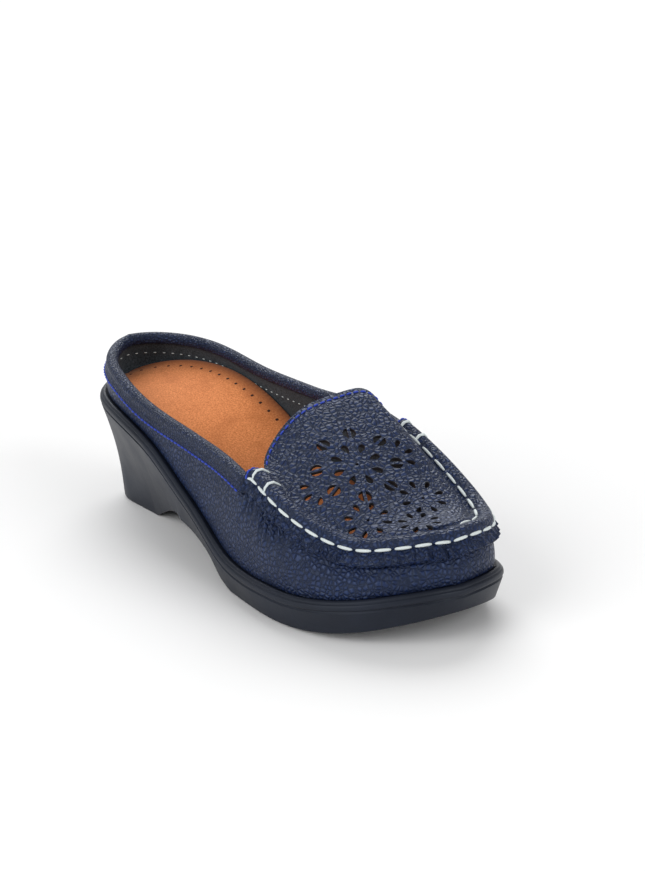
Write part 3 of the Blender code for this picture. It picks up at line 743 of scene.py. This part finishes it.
def sole_walls():
    """Rings of the sole from its seat over the bead and down the wall to the tread."""
    rows = []
    for inwards, up in rounded(BEAD, 4):
        rows.append(level(inset(RIM, BEAD_REACH * inwards), RIM_HEIGHT + BEAD_HEIGHT * up))
    start = rows[-1]
    hollow = HEEL_HOLLOW * np.clip(1 - RING_SHARES / HOLLOW_END, 0, 1) ** 0.5
    for share in np.linspace(0.05, 0.93, 18):
        row = start + (TREAD_EDGE - start) * share
        row[:, :2] -= OUTWARDS * (hollow * math.sin(math.pi * share))[:, None]
        rows.append(row)
    for inwards, up in ((0.05, 1.0), (0.3, 0.45), (0.65, 0.12), (1.0, 0.0)):
        plan = inset(TREAD_EDGE[:, :2], FOOT_ROUND * inwards)
        rows.append(level(plan, TREAD_EDGE[:, 2] + FOOT_ROUND * up))
    return rows


def underside_bow(i, places):
    """Hollow of the breast face, seen in plan."""
    fall = max(1 - abs(i - BREAST_STATION) / FINE, 0)
    return np.outer(-BREAST_HOLLOW * fall * (1 - places ** 2), (1, 0, 0))


walls = sole_walls()
sole = sew([
    lay_grid("sole_walls", closed_round(walls)),
    lay_grid("sole_seat", cap_rows(walls[0], 4)),
    lay_grid("sole_tread", cap_rows(walls[-1], 16, underside_bow)),
], "moulded_sole")


# %% Tread grooves, cut with a row of bars
def tread_bars():
    """Bars that cut the cross grooves under the heel and the forefoot."""
    heel = np.arange(HEEL_X + HEEL_TIP_BACK + TREAD_PITCH, HEEL_X + HEEL_TIP_FRONT - TREAD_PITCH,
                     TREAD_PITCH)
    ball = np.arange(HEEL_X + LENGTH * TREAD_BACK, HEEL_X + LENGTH * TREAD_FRONT, TREAD_PITCH)
    bars = []
    for x in [*heel, *ball]:
        on_heel = x < HEEL_X + HEEL_TIP_FRONT
        first, last = (1, BREAST_STATION + 1) if on_heel else (BREAST_STATION + FINE, SIDE)
        outer = TREAD_EDGE[first:last]
        inner = TREAD_EDGE[COUNT - np.arange(first, last)]
        low = np.interp(x, outer[:, 0], outer[:, 1]) + TREAD_MARGIN
        high = np.interp(x, inner[:, 0], inner[:, 1]) - TREAD_MARGIN
        bpy.ops.mesh.primitive_cube_add(size=1)
        bar = bpy.context.object
        size = (TREAD_WIDTH, high - low, 2 * TREAD_DEPTH)
        place = Matrix.Translation((x, (low + high) / 2, float(spring(x))))
        bar.data.transform(place @ Matrix.Diagonal((*size, 1)))
        bars.append(bar)
    return sew(bars, "tread_bars")


def cut_with(piece, cutter):
    """Subtract a cutter from a piece and delete the cutter."""
    cut = piece.modifiers.new("cut", "BOOLEAN")
    cut.operation = "DIFFERENCE"
    cut.solver = "EXACT"
    cut.use_self = True
    cut.material_mode = "TRANSFER"
    cut.object = cutter
    apply_modifiers(piece)
    bpy.data.objects.remove(cutter)


sole.data.materials.append(sole_rubber)
bars = tread_bars()
bars.data.materials.append(sole_rubber)
cut_with(sole, bars)
shade(sole, 40)
deliver(sole, "sole", "sole")

# %% [markdown]
# ## The insole
#
# A soft bed covered with tan brushed leather. It cups the heel and rises along the arch. Its
# colour is darkened towards its edge as painted shade, where the light of the opening doesn't
# reach and the leather turns down; each point stores how close to the edge it lies, and the finish
# reads that.

# %% Insole
BED_CUP_TURN = 1.6
# Reach of the painted shade at the insole's edge.
EDGE_SHADE_REACH = 0.0085
PINHOLE_INSET = 0.0050
PINHOLE_PITCH = 0.0064
PINHOLE_WIDTH = 0.0014
PINHOLE_HEIGHT = 0.0002


def seat_at(x):
    """Height of the sole's seat at a place along the shoe."""
    side = inset(RIM, BEAD_REACH * BEAD["inwards"][0])[:SIDE + 1, 0]
    return np.interp(x, side, SEAT_HEIGHT[:SIDE + 1])


def insole_walls():
    """Rings of the insole's side, from the seat to its rounded top edge."""
    bed = RIM_HEIGHT + BED_HEIGHT * column_ring(PROFILE, "outer_bed", "inner_bed")
    share = (bed - FOOT[:, 2]) / (TOP[:, 2] - FOOT[:, 2])
    clear = WALL + 2 * GAP
    foot = wall_at(0.0)
    foot[:, :2] = inset(foot[:, :2], clear)
    foot[:, 2] = seat_at(foot[:, 0]) + GAP
    edge = wall_at(share)
    edge[:, :2] = inset(edge[:, :2], clear)
    edge[:, 2] -= BED_ROUND_DROP
    rows = [foot + (edge - foot) * t for t in (0, 0.33, 0.66, 1)]
    for inwards, up in ((0.12, 0.45), (0.45, 0.82), (1.0, 1.0)):
        turned = level(inset(edge[:, :2], BED_ROUND * inwards), edge[:, 2] + BED_ROUND_DROP * up)
        rows.append(turned)
    return rows


def cupped(i, places):
    """Cup of the bed between its edges."""
    sink = BED_CUP * math.sin(math.pi * min(1, i / SIDE * BED_CUP_TURN))
    return np.outer(-sink * (1 - places ** 4), (0, 0, 1))


walls = insole_walls()
insole = sew([
    lay_grid("insole_walls", closed_round(walls)),
    lay_grid("insole_foot", cap_rows(walls[0], 4)),
    lay_grid("insole_bed", cap_rows(walls[-1], 28, cupped)),
], "tan_insole")
INSOLE_EDGE = walls[-1]
points = np.array([vertex.co for vertex in insole.data.vertices])
# Painted shade: each point's closeness to the insole's edge, kept for the finish to darken it.
apart = np.linalg.norm(points[:, None, :2] - INSOLE_EDGE[None, ::2, :2], axis=2).min(axis=1)
edge_shade = np.clip(1 - apart / EDGE_SHADE_REACH, 0, 1) ** 1.6
edge_shade_store = insole.data.attributes.new("edge", "FLOAT", "POINT")
edge_shade_store.data.foreach_set("value", edge_shade.astype(np.float32))
insole.data.materials.append(insole_suede)
shade(insole, 40)
deliver(insole, "insole", "insole")

# %% [markdown]
# ## The upper
#
# One wall of leather goes round the foot. Under the apron's seam its long edge is gathered into
# a shorter one, which throws soft pleats: deep beside the throat, fine round the toe. The main
# pleats are listed one by one, the fine ones follow a fixed rhythm with a little chance in it.

# %% Pleats
PLEAT_DEPTH = 0.0024
PLEAT_WIDTH = 0.0011
PLEAT_DROP = 0.0165
GATHER_PITCH = 0.0024

PLEATS = table("side along depth width drop lean", (
    (-1, 0.652, 0.90, 1.0, 0.90, -0.20), (-1, 0.668, 1.15, 1.1, 1.05, -0.15),
    (-1, 0.684, 0.85, 0.9, 0.85, -0.05), (-1, 0.699, 1.30, 1.2, 1.15, 0.05),
    (-1, 0.716, 1.00, 0.9, 1.00, 0.10), (-1, 0.733, 1.20, 1.1, 0.90, 0.15),
    (-1, 0.752, 0.80, 1.0, 0.75, 0.20), (-1, 0.774, 0.90, 1.1, 0.70, 0.22),
    (-1, 0.800, 0.60, 1.0, 0.55, 0.25), (-1, 0.832, 0.50, 1.0, 0.45, 0.25),
    (1, 0.676, 0.85, 1.0, 0.90, -0.15), (1, 0.694, 1.10, 1.1, 1.00, -0.05),
    (1, 0.713, 0.90, 1.0, 0.95, 0.05), (1, 0.731, 1.15, 1.1, 0.90, 0.10),
    (1, 0.752, 0.80, 1.0, 0.75, 0.18), (1, 0.780, 0.70, 1.0, 0.60, 0.22),
    (1, 0.815, 0.50, 1.0, 0.50, 0.25),
))


def arc_of(ring):
    """Distance along a ring of each station, from the heel."""
    steps = np.linalg.norm(np.roll(ring, -1, axis=0) - ring, axis=1)
    return np.concatenate([[0], np.cumsum(steps)[:-1]])


TOP_ARC = arc_of(TOP)


def arc_at(side, along):
    """Distance along the wall's top of a place on one side."""
    first, last = (0, SIDE) if side < 0 else (SIDE, COUNT - 1)
    order = np.argsort(RING_SHARES[first:last])
    return np.interp(along, RING_SHARES[first:last][order], TOP_ARC[first:last][order])


def fold(distance, width):
    """Section of one pleat: a soft trough with a low ridge on both sides."""
    x = distance / width
    return -0.45 * np.exp(-x * x) + 0.55 * np.exp(-1.3 * (np.abs(x) - 1.7) ** 2)


def gathers():
    """Places, depths and drops of the fine gathers under the seam."""
    rng = np.random.default_rng(7)
    start, end = TOP_ARC[THROAT_STATION + 2], TOP_ARC[COUNT - THROAT_STATION - 2]
    place = start
    found = []
    while place < end:
        turn = abs((place - start) / (end - start) - 0.5) * 2
        found.append((place, 0.16 + 0.22 * turn * rng.random(), 0.30 + 0.35 * turn * rng.random()))
        place += GATHER_PITCH * (0.7 + 0.6 * rng.random())
    return found


def pleat_heights(arcs, depth_below):
    """How far each point of the wall moves out, from its place along the wall and its depth."""
    moved = np.zeros_like(depth_below)
    for side, along, deep, wide, drop, lean in zip(*PLEATS.values()):
        line = arc_at(side, along) - side * lean * depth_below
        fade = np.clip(1 - depth_below / (PLEAT_DROP * drop), 0, 1)
        moved += PLEAT_DEPTH * deep * fade * fold(arcs - line, PLEAT_WIDTH * wide)
    for place, deep, drop in gathers():
        fade = np.clip(1 - depth_below / (PLEAT_DROP * drop), 0, 1) ** 1.5
        moved += PLEAT_DEPTH * deep * fade * fold(arcs - place, 0.6 * PLEAT_WIDTH)
    return moved


# %% Upper
def doubled(rows):
    """Add a station halfway between each two of some rows of rings."""
    halfway = (rows + np.roll(rows, -1, axis=1)) / 2
    return np.stack([rows, halfway], axis=2).reshape(len(rows), -1, *rows.shape[2:])


def outward_normals(rows):
    """Normals of rows of rings, pointing away from the foot."""
    around = np.roll(rows, -1, axis=1) - np.roll(rows, 1, axis=1)
    rising = np.gradient(rows, axis=0)
    normals = np.cross(around, rising)
    normals /= np.linalg.norm(normals, axis=2)[:, :, None]
    facing = (normals[:, :, :2] * doubled(OUTWARDS[None])).sum(axis=2)
    return normals * np.sign(facing.mean())


shares = np.concatenate([np.linspace(0, 0.5, 8)[:-1], np.linspace(0.5, 1, 36)])
outer = doubled(np.array([wall_at(share) for share in shares]))
normals = outward_normals(outer)
depth_below = (1 - shares)[:, None] * doubled(WALL_HEIGHT[None])
pleated = outer + normals * pleat_heights(arc_of(outer[-1])[None], depth_below)[:, :, None]
inner = outer - normals * WALL
inner = np.concatenate([inner[::-4], inner[:1]])
upper = lay_grid("upper_wall", closed_round(np.concatenate([pleated, inner, pleated[:1]])))
upper.data.materials.append(vamp_leather)
upper.data.materials.append(lining_suede)
leather_rows = len(pleated) - 1
stripe = np.repeat(np.arange(len(pleated) + len(inner)) >= leather_rows, 2 * COUNT)
upper.data.polygons.foreach_set("material_index", stripe.astype(np.int32))
upper = sew([upper], "leather_upper")
shade(upper, 50)
deliver(upper, "upper", "upper")

# %% [markdown]
# ## The collar
#
# A strip of leather is rolled over the wall's top edge and stitched below the roll. Its section
# is swept from throat corner to throat corner round the heel, and closes in a point at each end.


# %% Collar
def collar_rows():
    """Sections of the collar, as rings: the part that shows, then the part that grips."""
    rings = []
    for down, up, outwards in rounded(COLLAR, 4):
        rings.append(beside_wall(down * COLLAR_DEPTH, up * ROLL_HEIGHT, outwards * ROLL_WIDTH))
    inside = -(WALL + GAP)
    rings.append(beside_wall(COLLAR["down"][-1] * COLLAR_DEPTH, 0, inside))
    rings.append(beside_wall(0, GAP, inside))
    rings.append(beside_wall(0, GAP, GAP))
    for down in COLLAR["down"][2::-1]:
        rings.append(beside_wall(down * COLLAR_DEPTH, 0, GAP))
    stations = [(COUNT - THROAT_STATION + k) % COUNT for k in range(2 * THROAT_STATION + 1)]
    sections = np.array(rings)[:, stations].transpose(1, 0, 2)
    for end, nextdoor in ((0, 1), (-1, -2)):
        away = sections[nextdoor].mean(axis=0) - sections[end].mean(axis=0)
        sections[end] += away / np.linalg.norm(away) * GAP
    ends = [np.repeat(sections[k].mean(axis=0)[None], sections.shape[1], axis=0) for k in (0, -1)]
    return np.concatenate([ends[0][None], sections, ends[1][None]])


collar = sew([lay_grid("collar_strip", closed_round(collar_rows()))], "rolled_collar")
collar.data.materials.append(collar_leather)
shade(collar, 50)
deliver(collar, "collar", "collar")

# %% [markdown]
# ## The apron
#
# The apron is a second leather, sewn to the vamp in a raised seam, with its cut edge standing
# out as a lip. Its crown falls from the throat and flattens over the toes. The flower pattern
# is punched through the leather, so it is cut here with prisms that stand square on the face.

# %% Seam and field
FIELD_STEPS = 72
LIP_ROWS = 9
LIP_RIPPLE = 0.00060
LIP_WAVES = 9
LIP_WAVE_SHORTEST = 0.0024
LIP_WAVE_SPREAD = 0.0030
SOFT_EDGE = 0.0004
SEAM_STATIONS = list(range(THROAT_STATION, COUNT - THROAT_STATION + 1))


def lip_ripple(arc):
    """Ripples of the gathered lip along the seam."""
    rng = np.random.default_rng(11)
    waves = np.zeros_like(arc)
    for _ in range(LIP_WAVES):
        length = LIP_WAVE_SHORTEST + LIP_WAVE_SPREAD * rng.random()
        waves += np.sin(2 * math.pi * (arc / length + rng.random())) * rng.random()
    return waves / 2.2


def face_tree(piece):
    """Search tree of a piece's faces."""
    places = [vertex.co.copy() for vertex in piece.data.vertices]
    return BVHTree.FromPolygons(places, [tuple(face.vertices) for face in piece.data.polygons])


def seam_rows():
    """Rings of the apron's lip and raised seam, from the lip's edge to the field."""
    under = GAP + APRON_LEATHER
    ripple = lip_ripple(TOP_ARC)
    rows = []
    for down in np.linspace(1, 0, LIP_ROWS):
        ring, out, up = wall_frame(down * LIP_DROP)
        flare = LIP_FLARE * down ** 1.5 + LIP_RIPPLE * ripple * down ** 0.5
        lift = 0.6 * LIP_RIPPLE * ripple * down
        rows.append(ring + out * (under + flare)[:, None] + up * lift[:, None])
    stitch = rows[-1]
    for outwards, up in rounded(RIDGE, 5)[1:]:
        row = stitch.copy()
        row[:, :2] += OUTWARDS * outwards * RIDGE_WIDTH
        row[:, 2] += up * RIDGE_HEIGHT
        rows.append(row)
    return np.array(rows)


def field_rows(edge):
    """Strips of the field from side to side, from the throat to the toe."""
    count = SIDE - THROAT_STATION
    places = np.linspace(-1, 1, FIELD_STEPS + 1)
    rows = []
    for k in range(count + 1):
        share = k / count
        height = APRON_CROWN * float(smooth(CROWN, "height", share))
        shift = float(smooth(CROWN, "shift", share))
        dip = THROAT_DIP * float(smooth(CROWN, "dip", share))
        row = edge[k] + (edge[-1 - k] - edge[k]) * ((places + 1) / 2)[:, None]
        crest = places - shift * (1 - places ** 2)
        row[:, 2] += height * (1 - np.abs(crest) ** CREST_FLATNESS) * (np.abs(places) < 1)
        row[:, 0] -= dip * (1 - np.abs(places) ** DIP_FLATNESS)
        rows.append(row)
    return np.array(rows)


seam = seam_rows()
field = field_rows(seam[-1][SEAM_STATIONS])
field_face = lay_grid("field_face", field)
field_tree = face_tree(field_face)
apron = sew([lay_grid("seam_face", seam[:, SEAM_STATIONS]), field_face], "punched_apron")
upwards = sum(face.normal.z * face.area for face in apron.data.polygons)
if upwards < 0:
    apron.data.flip_normals()
thick = apron.modifiers.new("leather", "SOLIDIFY")
thick.thickness = APRON_LEATHER
thick.offset = -1
thick.use_even_offset = True
soft_edge = apron.modifiers.new("soft_edge", "BEVEL")
soft_edge.width = SOFT_EDGE
soft_edge.segments = 2
soft_edge.limit_method = "ANGLE"
soft_edge.angle_limit = math.radians(60)
apply_modifiers(apron)


# %% Punched pattern
def leather_frame(start, down, ahead):
    """Point of the field met from a start along a line, with its axes ahead, aside and out."""
    point, out, _, _ = field_tree.ray_cast(start, down)
    out = out if out.z > 0 else -out
    aside = out.cross(ahead).normalized()
    return point, aside.cross(out), aside, out


def prism(square, outline):
    """Corners of a prism that stands square on the leather, top outline first."""
    point, ahead, aside, out = square
    base = [point + ahead * a + aside * b for a, b in outline]
    top = [p + out * PUNCH_REACH for p in base]
    low = [p - out * (PUNCH_REACH + APRON_LEATHER) for p in base]
    return top, low


def ring_prisms(middle, radius, turns, outlines):
    """Prisms in a ring on the leather round a middle."""
    point, ahead, aside, out = middle
    for turn in turns:
        away = ahead * math.cos(turn) + aside * math.sin(turn)
        square = leather_frame(point + away * radius + out * ROSE_RADIUS, -out, away)
        for outline in outlines:
            yield prism(square, outline)


def circle_part(radius, first, last, steps):
    """Points on a part of a circle."""
    angles = np.linspace(first, last, steps)
    return [(radius * math.cos(a), radius * math.sin(a)) for a in angles]


def petal_outline(length, width):
    """Outline of a petal with its tip towards the rose's middle."""
    half = [(a * length, b * width) for a, b in zip(PETAL["ahead"], PETAL["aside"])]
    return half + [(a, -b) for a, b in half[-2:0:-1]]


def punched_prisms():
    """All prisms: large rose, ring of barred discs, small roses and groups of petals."""
    turn = math.radians(PATTERN_TURN)
    ahead = Vector((math.cos(turn), math.sin(turn), 0))
    aside = Vector((-ahead.y, ahead.x, 0))
    above = Vector((TOE_X - PATTERN_BACK, PATTERN_ASIDE, LENGTH))
    down = Vector((0, 0, -1))
    step = 2 * math.pi / PETALS
    start_turn = math.radians(PETAL_TURN)
    all_turns = [start_turn + step * k for k in range(PETALS)]
    bar = math.asin(DISC_BAR / DISC_WIDTH)
    half_disc = circle_part(DISC_WIDTH / 2, bar, math.pi - bar, 12)
    discs = [half_disc, [(a, -b) for a, b in half_disc]]
    eye = circle_part(EYE_WIDTH / 2, 0, 2 * math.pi * 0.9, 10)
    middle = leather_frame(above, down, ahead)
    found = [prism(middle, eye)]
    large = [petal_outline(PETAL_LENGTH, PETAL_WIDTH)]
    found += ring_prisms(middle, ROSE_RADIUS, all_turns, large)
    between = [turn + step / 2 for turn in all_turns]
    found += ring_prisms(middle, DISC_RING_RADIUS, between, discs)
    small = [petal_outline(SMALL_PETAL_LENGTH, SMALL_PETAL_WIDTH)]
    for a, b, radius, first, petals in zip(*ROSES.values()):
        start = above + ahead * (a * DISC_RING_RADIUS) + aside * (b * DISC_RING_RADIUS)
        middle = leather_frame(start, down, ahead)
        turns = [start_turn + step * (first + k) for k in range(int(petals))]
        found += ring_prisms(middle, radius * SMALL_ROSE_RADIUS, turns, small)
        if petals == PETALS:
            found.append(prism(middle, eye))
    return found


def punch_object():
    """One mesh of all prisms."""
    verts, faces = [], []
    for top, low in punched_prisms():
        first, count = len(verts), len(top)
        verts += [*top, *low]
        faces.append(tuple(range(first, first + count)))
        faces.append(tuple(range(first + 2 * count - 1, first + count - 1, -1)))
        for k in range(count):
            n = (k + 1) % count
            faces.append((first + n, first + k, first + count + k, first + count + n))
    return sew([from_lists("punches", verts, faces)], "punches")


apron.data.materials.append(apron_leather)
punches = punch_object()
punches.data.materials.append(cut_edge)
cut_with(apron, punches)
shade(apron, 45)
deliver(apron, "apron", "apron")

# %% [markdown]
# ## Stitches and pinholes
#
# A stitch is a short cord that dips into the leather at both ends. One round primitive is bent
# along its path for each stitch, and all stitches of one seam make one mesh. The saddle seam is
# thick white thread through both bases of the ridge; the fine seams are royal blue.

# %% One stitch, laid along a path
AIM = 0.0002

bpy.ops.mesh.primitive_uv_sphere_add(segments=8, ring_count=7, radius=1)
seed = bpy.context.object
seed_points = np.array([vertex.co for vertex in seed.data.vertices])[:, [2, 0, 1]]
seed_girth = np.linalg.norm(seed_points[:, 1:], axis=1)[:, None]
seed_points[:, 1:] *= np.maximum(seed_girth, 0.01) ** -0.5
seed_faces = [tuple(face.vertices) for face in seed.data.polygons]
bpy.data.objects.remove(seed)


def along_path(path, normals, places):
    """Points and normals at distances along a path."""
    path, normals = np.asarray(path, float), np.asarray(normals, float)
    steps = np.linalg.norm(np.diff(path, axis=0), axis=1)
    arc = np.concatenate([[0], np.cumsum(steps)])
    point = np.column_stack([np.interp(places, arc, path[:, k]) for k in range(3)])
    normal = np.column_stack([np.interp(places, arc, normals[:, k]) for k in range(3)])
    return point, normal / np.linalg.norm(normal, axis=1)[:, None]


def path_length(path):
    """Length of a path."""
    return float(np.linalg.norm(np.diff(np.asarray(path), axis=0), axis=1).sum())


def stitch_mesh(name, runs, length, width, height, thread):
    """Stitches of one length on runs: path, normals and the middles of the stitches on it."""
    verts, faces = [], []
    for path, normals, middles in runs:
        for middle in middles:
            places = middle + seed_points[:, 0] * length / 2
            point, normal = along_path(path, normals, places)
            before, after = (along_path(path, normals, places + s * AIM)[0] for s in (-1, 1))
            ahead = after - before
            ahead /= np.linalg.norm(ahead, axis=1)[:, None] + 1e-12
            across = np.cross(normal, ahead) * (seed_points[:, 1] * width / 2)[:, None]
            dip = 1 - np.abs(seed_points[:, 0]) ** 4
            lift = height * (0.45 * dip - 0.25) + seed_points[:, 2] * height / 2
            first = len(verts)
            verts += list(point + across + normal * lift[:, None])
            faces += [tuple(first + v for v in face) for face in seed_faces]
    stitches = from_lists(name, verts, faces)
    stitches.data.materials.append(thread)
    shade(stitches, 60)
    return stitches


def spaced(path, pitch, margin=0.0):
    """Middles of stitches spread evenly on a path."""
    room = path_length(path) - 2 * margin
    count = max(int(round(room / pitch)), 1)
    return margin + (np.arange(count) + 0.5) * room / count


# %% Saddle stitches through the ridge, and the bars over its ends
SADDLE_PITCH = 0.0079
SADDLE_LENGTH = 0.0068
SADDLE_WIDTH = 0.00135
SADDLE_HEIGHT = 0.0011
SADDLE_MARGIN = 0.001
OUTER_BASE, OUTER_LEAN = (0.05, 0.14), (1.0, 0.35)
INNER_BASE, INNER_LEAN = (-1.06, 0.70), (-0.45, 1.0)
INNER_SEAM_START = 2 * FINE
BARS_AT = (0.0030, 0.0085)
TAB_PITCH = 0.0024


def ridge_line(outwards, up):
    """Points along the ridge at one place of its section, from throat to throat."""
    stitch = seam[LIP_ROWS - 1][SEAM_STATIONS].copy()
    stitch[:, :2] += OUTWARDS[SEAM_STATIONS] * outwards * RIDGE_WIDTH
    stitch[:, 2] += up * RIDGE_HEIGHT
    return stitch


def leaning(outwards, up):
    """Normals along the ridge that lean outwards and up."""
    lean = np.column_stack([OUTWARDS[SEAM_STATIONS] * outwards, np.full(len(SEAM_STATIONS), up)])
    return lean / np.linalg.norm(lean, axis=1)[:, None]


inner_side = slice(SIDE - THROAT_STATION + INNER_SEAM_START, None)
saddle_runs = []
for base, lean, part in ((OUTER_BASE, OUTER_LEAN, slice(None)),
                         (INNER_BASE, INNER_LEAN, inner_side)):
    path = ridge_line(*base)[part]
    middles = spaced(path, SADDLE_PITCH, SADDLE_MARGIN)
    saddle_runs.append((path, leaning(*lean)[part], middles))
saddle = stitch_mesh("saddle_stitches", saddle_runs, SADDLE_LENGTH, SADDLE_WIDTH, SADDLE_HEIGHT,
                     white_thread)
deliver(saddle, "apron")


def over_ridge(station, first, last):
    """Path over the ridge at one station, with its normals."""
    section = seam[LIP_ROWS - 1 + first:LIP_ROWS + last, station]
    along = seam[LIP_ROWS + 5, station + 1] - seam[LIP_ROWS + 5, station - 1]
    normals = np.cross(along, np.gradient(section, axis=0))
    normals /= np.linalg.norm(normals, axis=1)[:, None]
    normals *= np.sign(normals[:, 2].sum())
    return section, normals


RIDGE_ROWS = 5 * (len(RIDGE["up"]) - 1)
ring_step = float(np.median(np.diff(TOP_ARC[SEAM_STATIONS])))
bar_runs, tab_runs = [], []
for start, sign in ((THROAT_STATION, 1), (COUNT - THROAT_STATION, -1)):
    for away in BARS_AT:
        station = start + sign * int(round(away / ring_step))
        path, normals = over_ridge(station, 2, RIDGE_ROWS - 6)
        bar_runs.append((path, normals, [path_length(path) / 2]))
    path, normals = over_ridge(start + sign, 1, RIDGE_ROWS - 4)
    tab_runs.append((path, normals, spaced(path, TAB_PITCH)))
bar_length = float(np.mean([path_length(run[0]) for run in bar_runs]))
bars_over = stitch_mesh("ridge_bars", bar_runs, bar_length, SADDLE_WIDTH, SADDLE_HEIGHT,
                        white_thread)
deliver(bars_over, "apron")

# %% Fine blue seams and the lining's seam
FINE_PITCH = 0.0030
FINE_LENGTH = 0.0024
FINE_WIDTH = 0.00085
FINE_HEIGHT = 0.0008
THROAT_MARGIN = 0.0022
BAND_SEAM_DOWN = 0.84
BAND_SEAM_OUT = 0.315
LINING_SEAM_DOWN = 1.25
LINING_PITCH = 0.0042
LINING_LENGTH = 0.0013
LINING_THREAD = 0.0004


def dropped(tree, plan, height):
    """Points and normals met when plan points fall on a face."""
    points, normals = [], []
    for x, y in plan:
        point, normal, _, _ = tree.ray_cast(Vector((x, y, height)), Vector((0, 0, -1)))
        if point is not None:
            points.append(point)
            normals.append(normal)
    return np.array(points), np.array(normals)


throat_line = field[0][2:-2, :2] + (THROAT_MARGIN, 0)
throat_path, throat_normals = dropped(face_tree(apron), throat_line, LENGTH)
ring, out, _ = wall_frame(BAND_SEAM_DOWN * COLLAR_DEPTH)
heel_stations = [(COUNT - THROAT_STATION + 2 + k) % COUNT for k in range(2 * THROAT_STATION - 3)]
band = (ring + out * (BAND_SEAM_OUT * ROLL_WIDTH))[heel_stations]
blue_runs = [
    (throat_path, throat_normals, spaced(throat_path, FINE_PITCH)),
    (band, out[heel_stations], spaced(band, FINE_PITCH)),
    *tab_runs,
]
blue = stitch_mesh("blue_stitches", blue_runs, FINE_LENGTH, FINE_WIDTH, FINE_HEIGHT, blue_thread)
deliver(blue, "collar")

ring, out, _ = wall_frame(LINING_SEAM_DOWN * COLLAR_DEPTH)
inside = (ring - out * WALL)[heel_stations]
speck_runs = [(inside, -out[heel_stations], spaced(inside, LINING_PITCH))]
specks = stitch_mesh("lining_stitches", speck_runs, LINING_LENGTH, LINING_THREAD, LINING_THREAD,
                     white_thread)
deliver(specks, "upper")

# %% Pinholes of the insole
# The pinholes are dots laid on the insole, not cut through it; their colour is painted shade of a
# hole.
pin_plan = inset(INSOLE_EDGE[:, :2], PINHOLE_INSET)
pin_plan = np.concatenate([pin_plan, pin_plan[:1]])
pin_path, pin_normals = dropped(face_tree(insole), pin_plan, LENGTH)
pin_runs = [(pin_path, pin_normals, spaced(pin_path, PINHOLE_PITCH))]
pinholes = stitch_mesh("pinholes", pin_runs, PINHOLE_WIDTH, PINHOLE_WIDTH, PINHOLE_HEIGHT,
                       pinhole_shade)
deliver(pinholes, "insole")
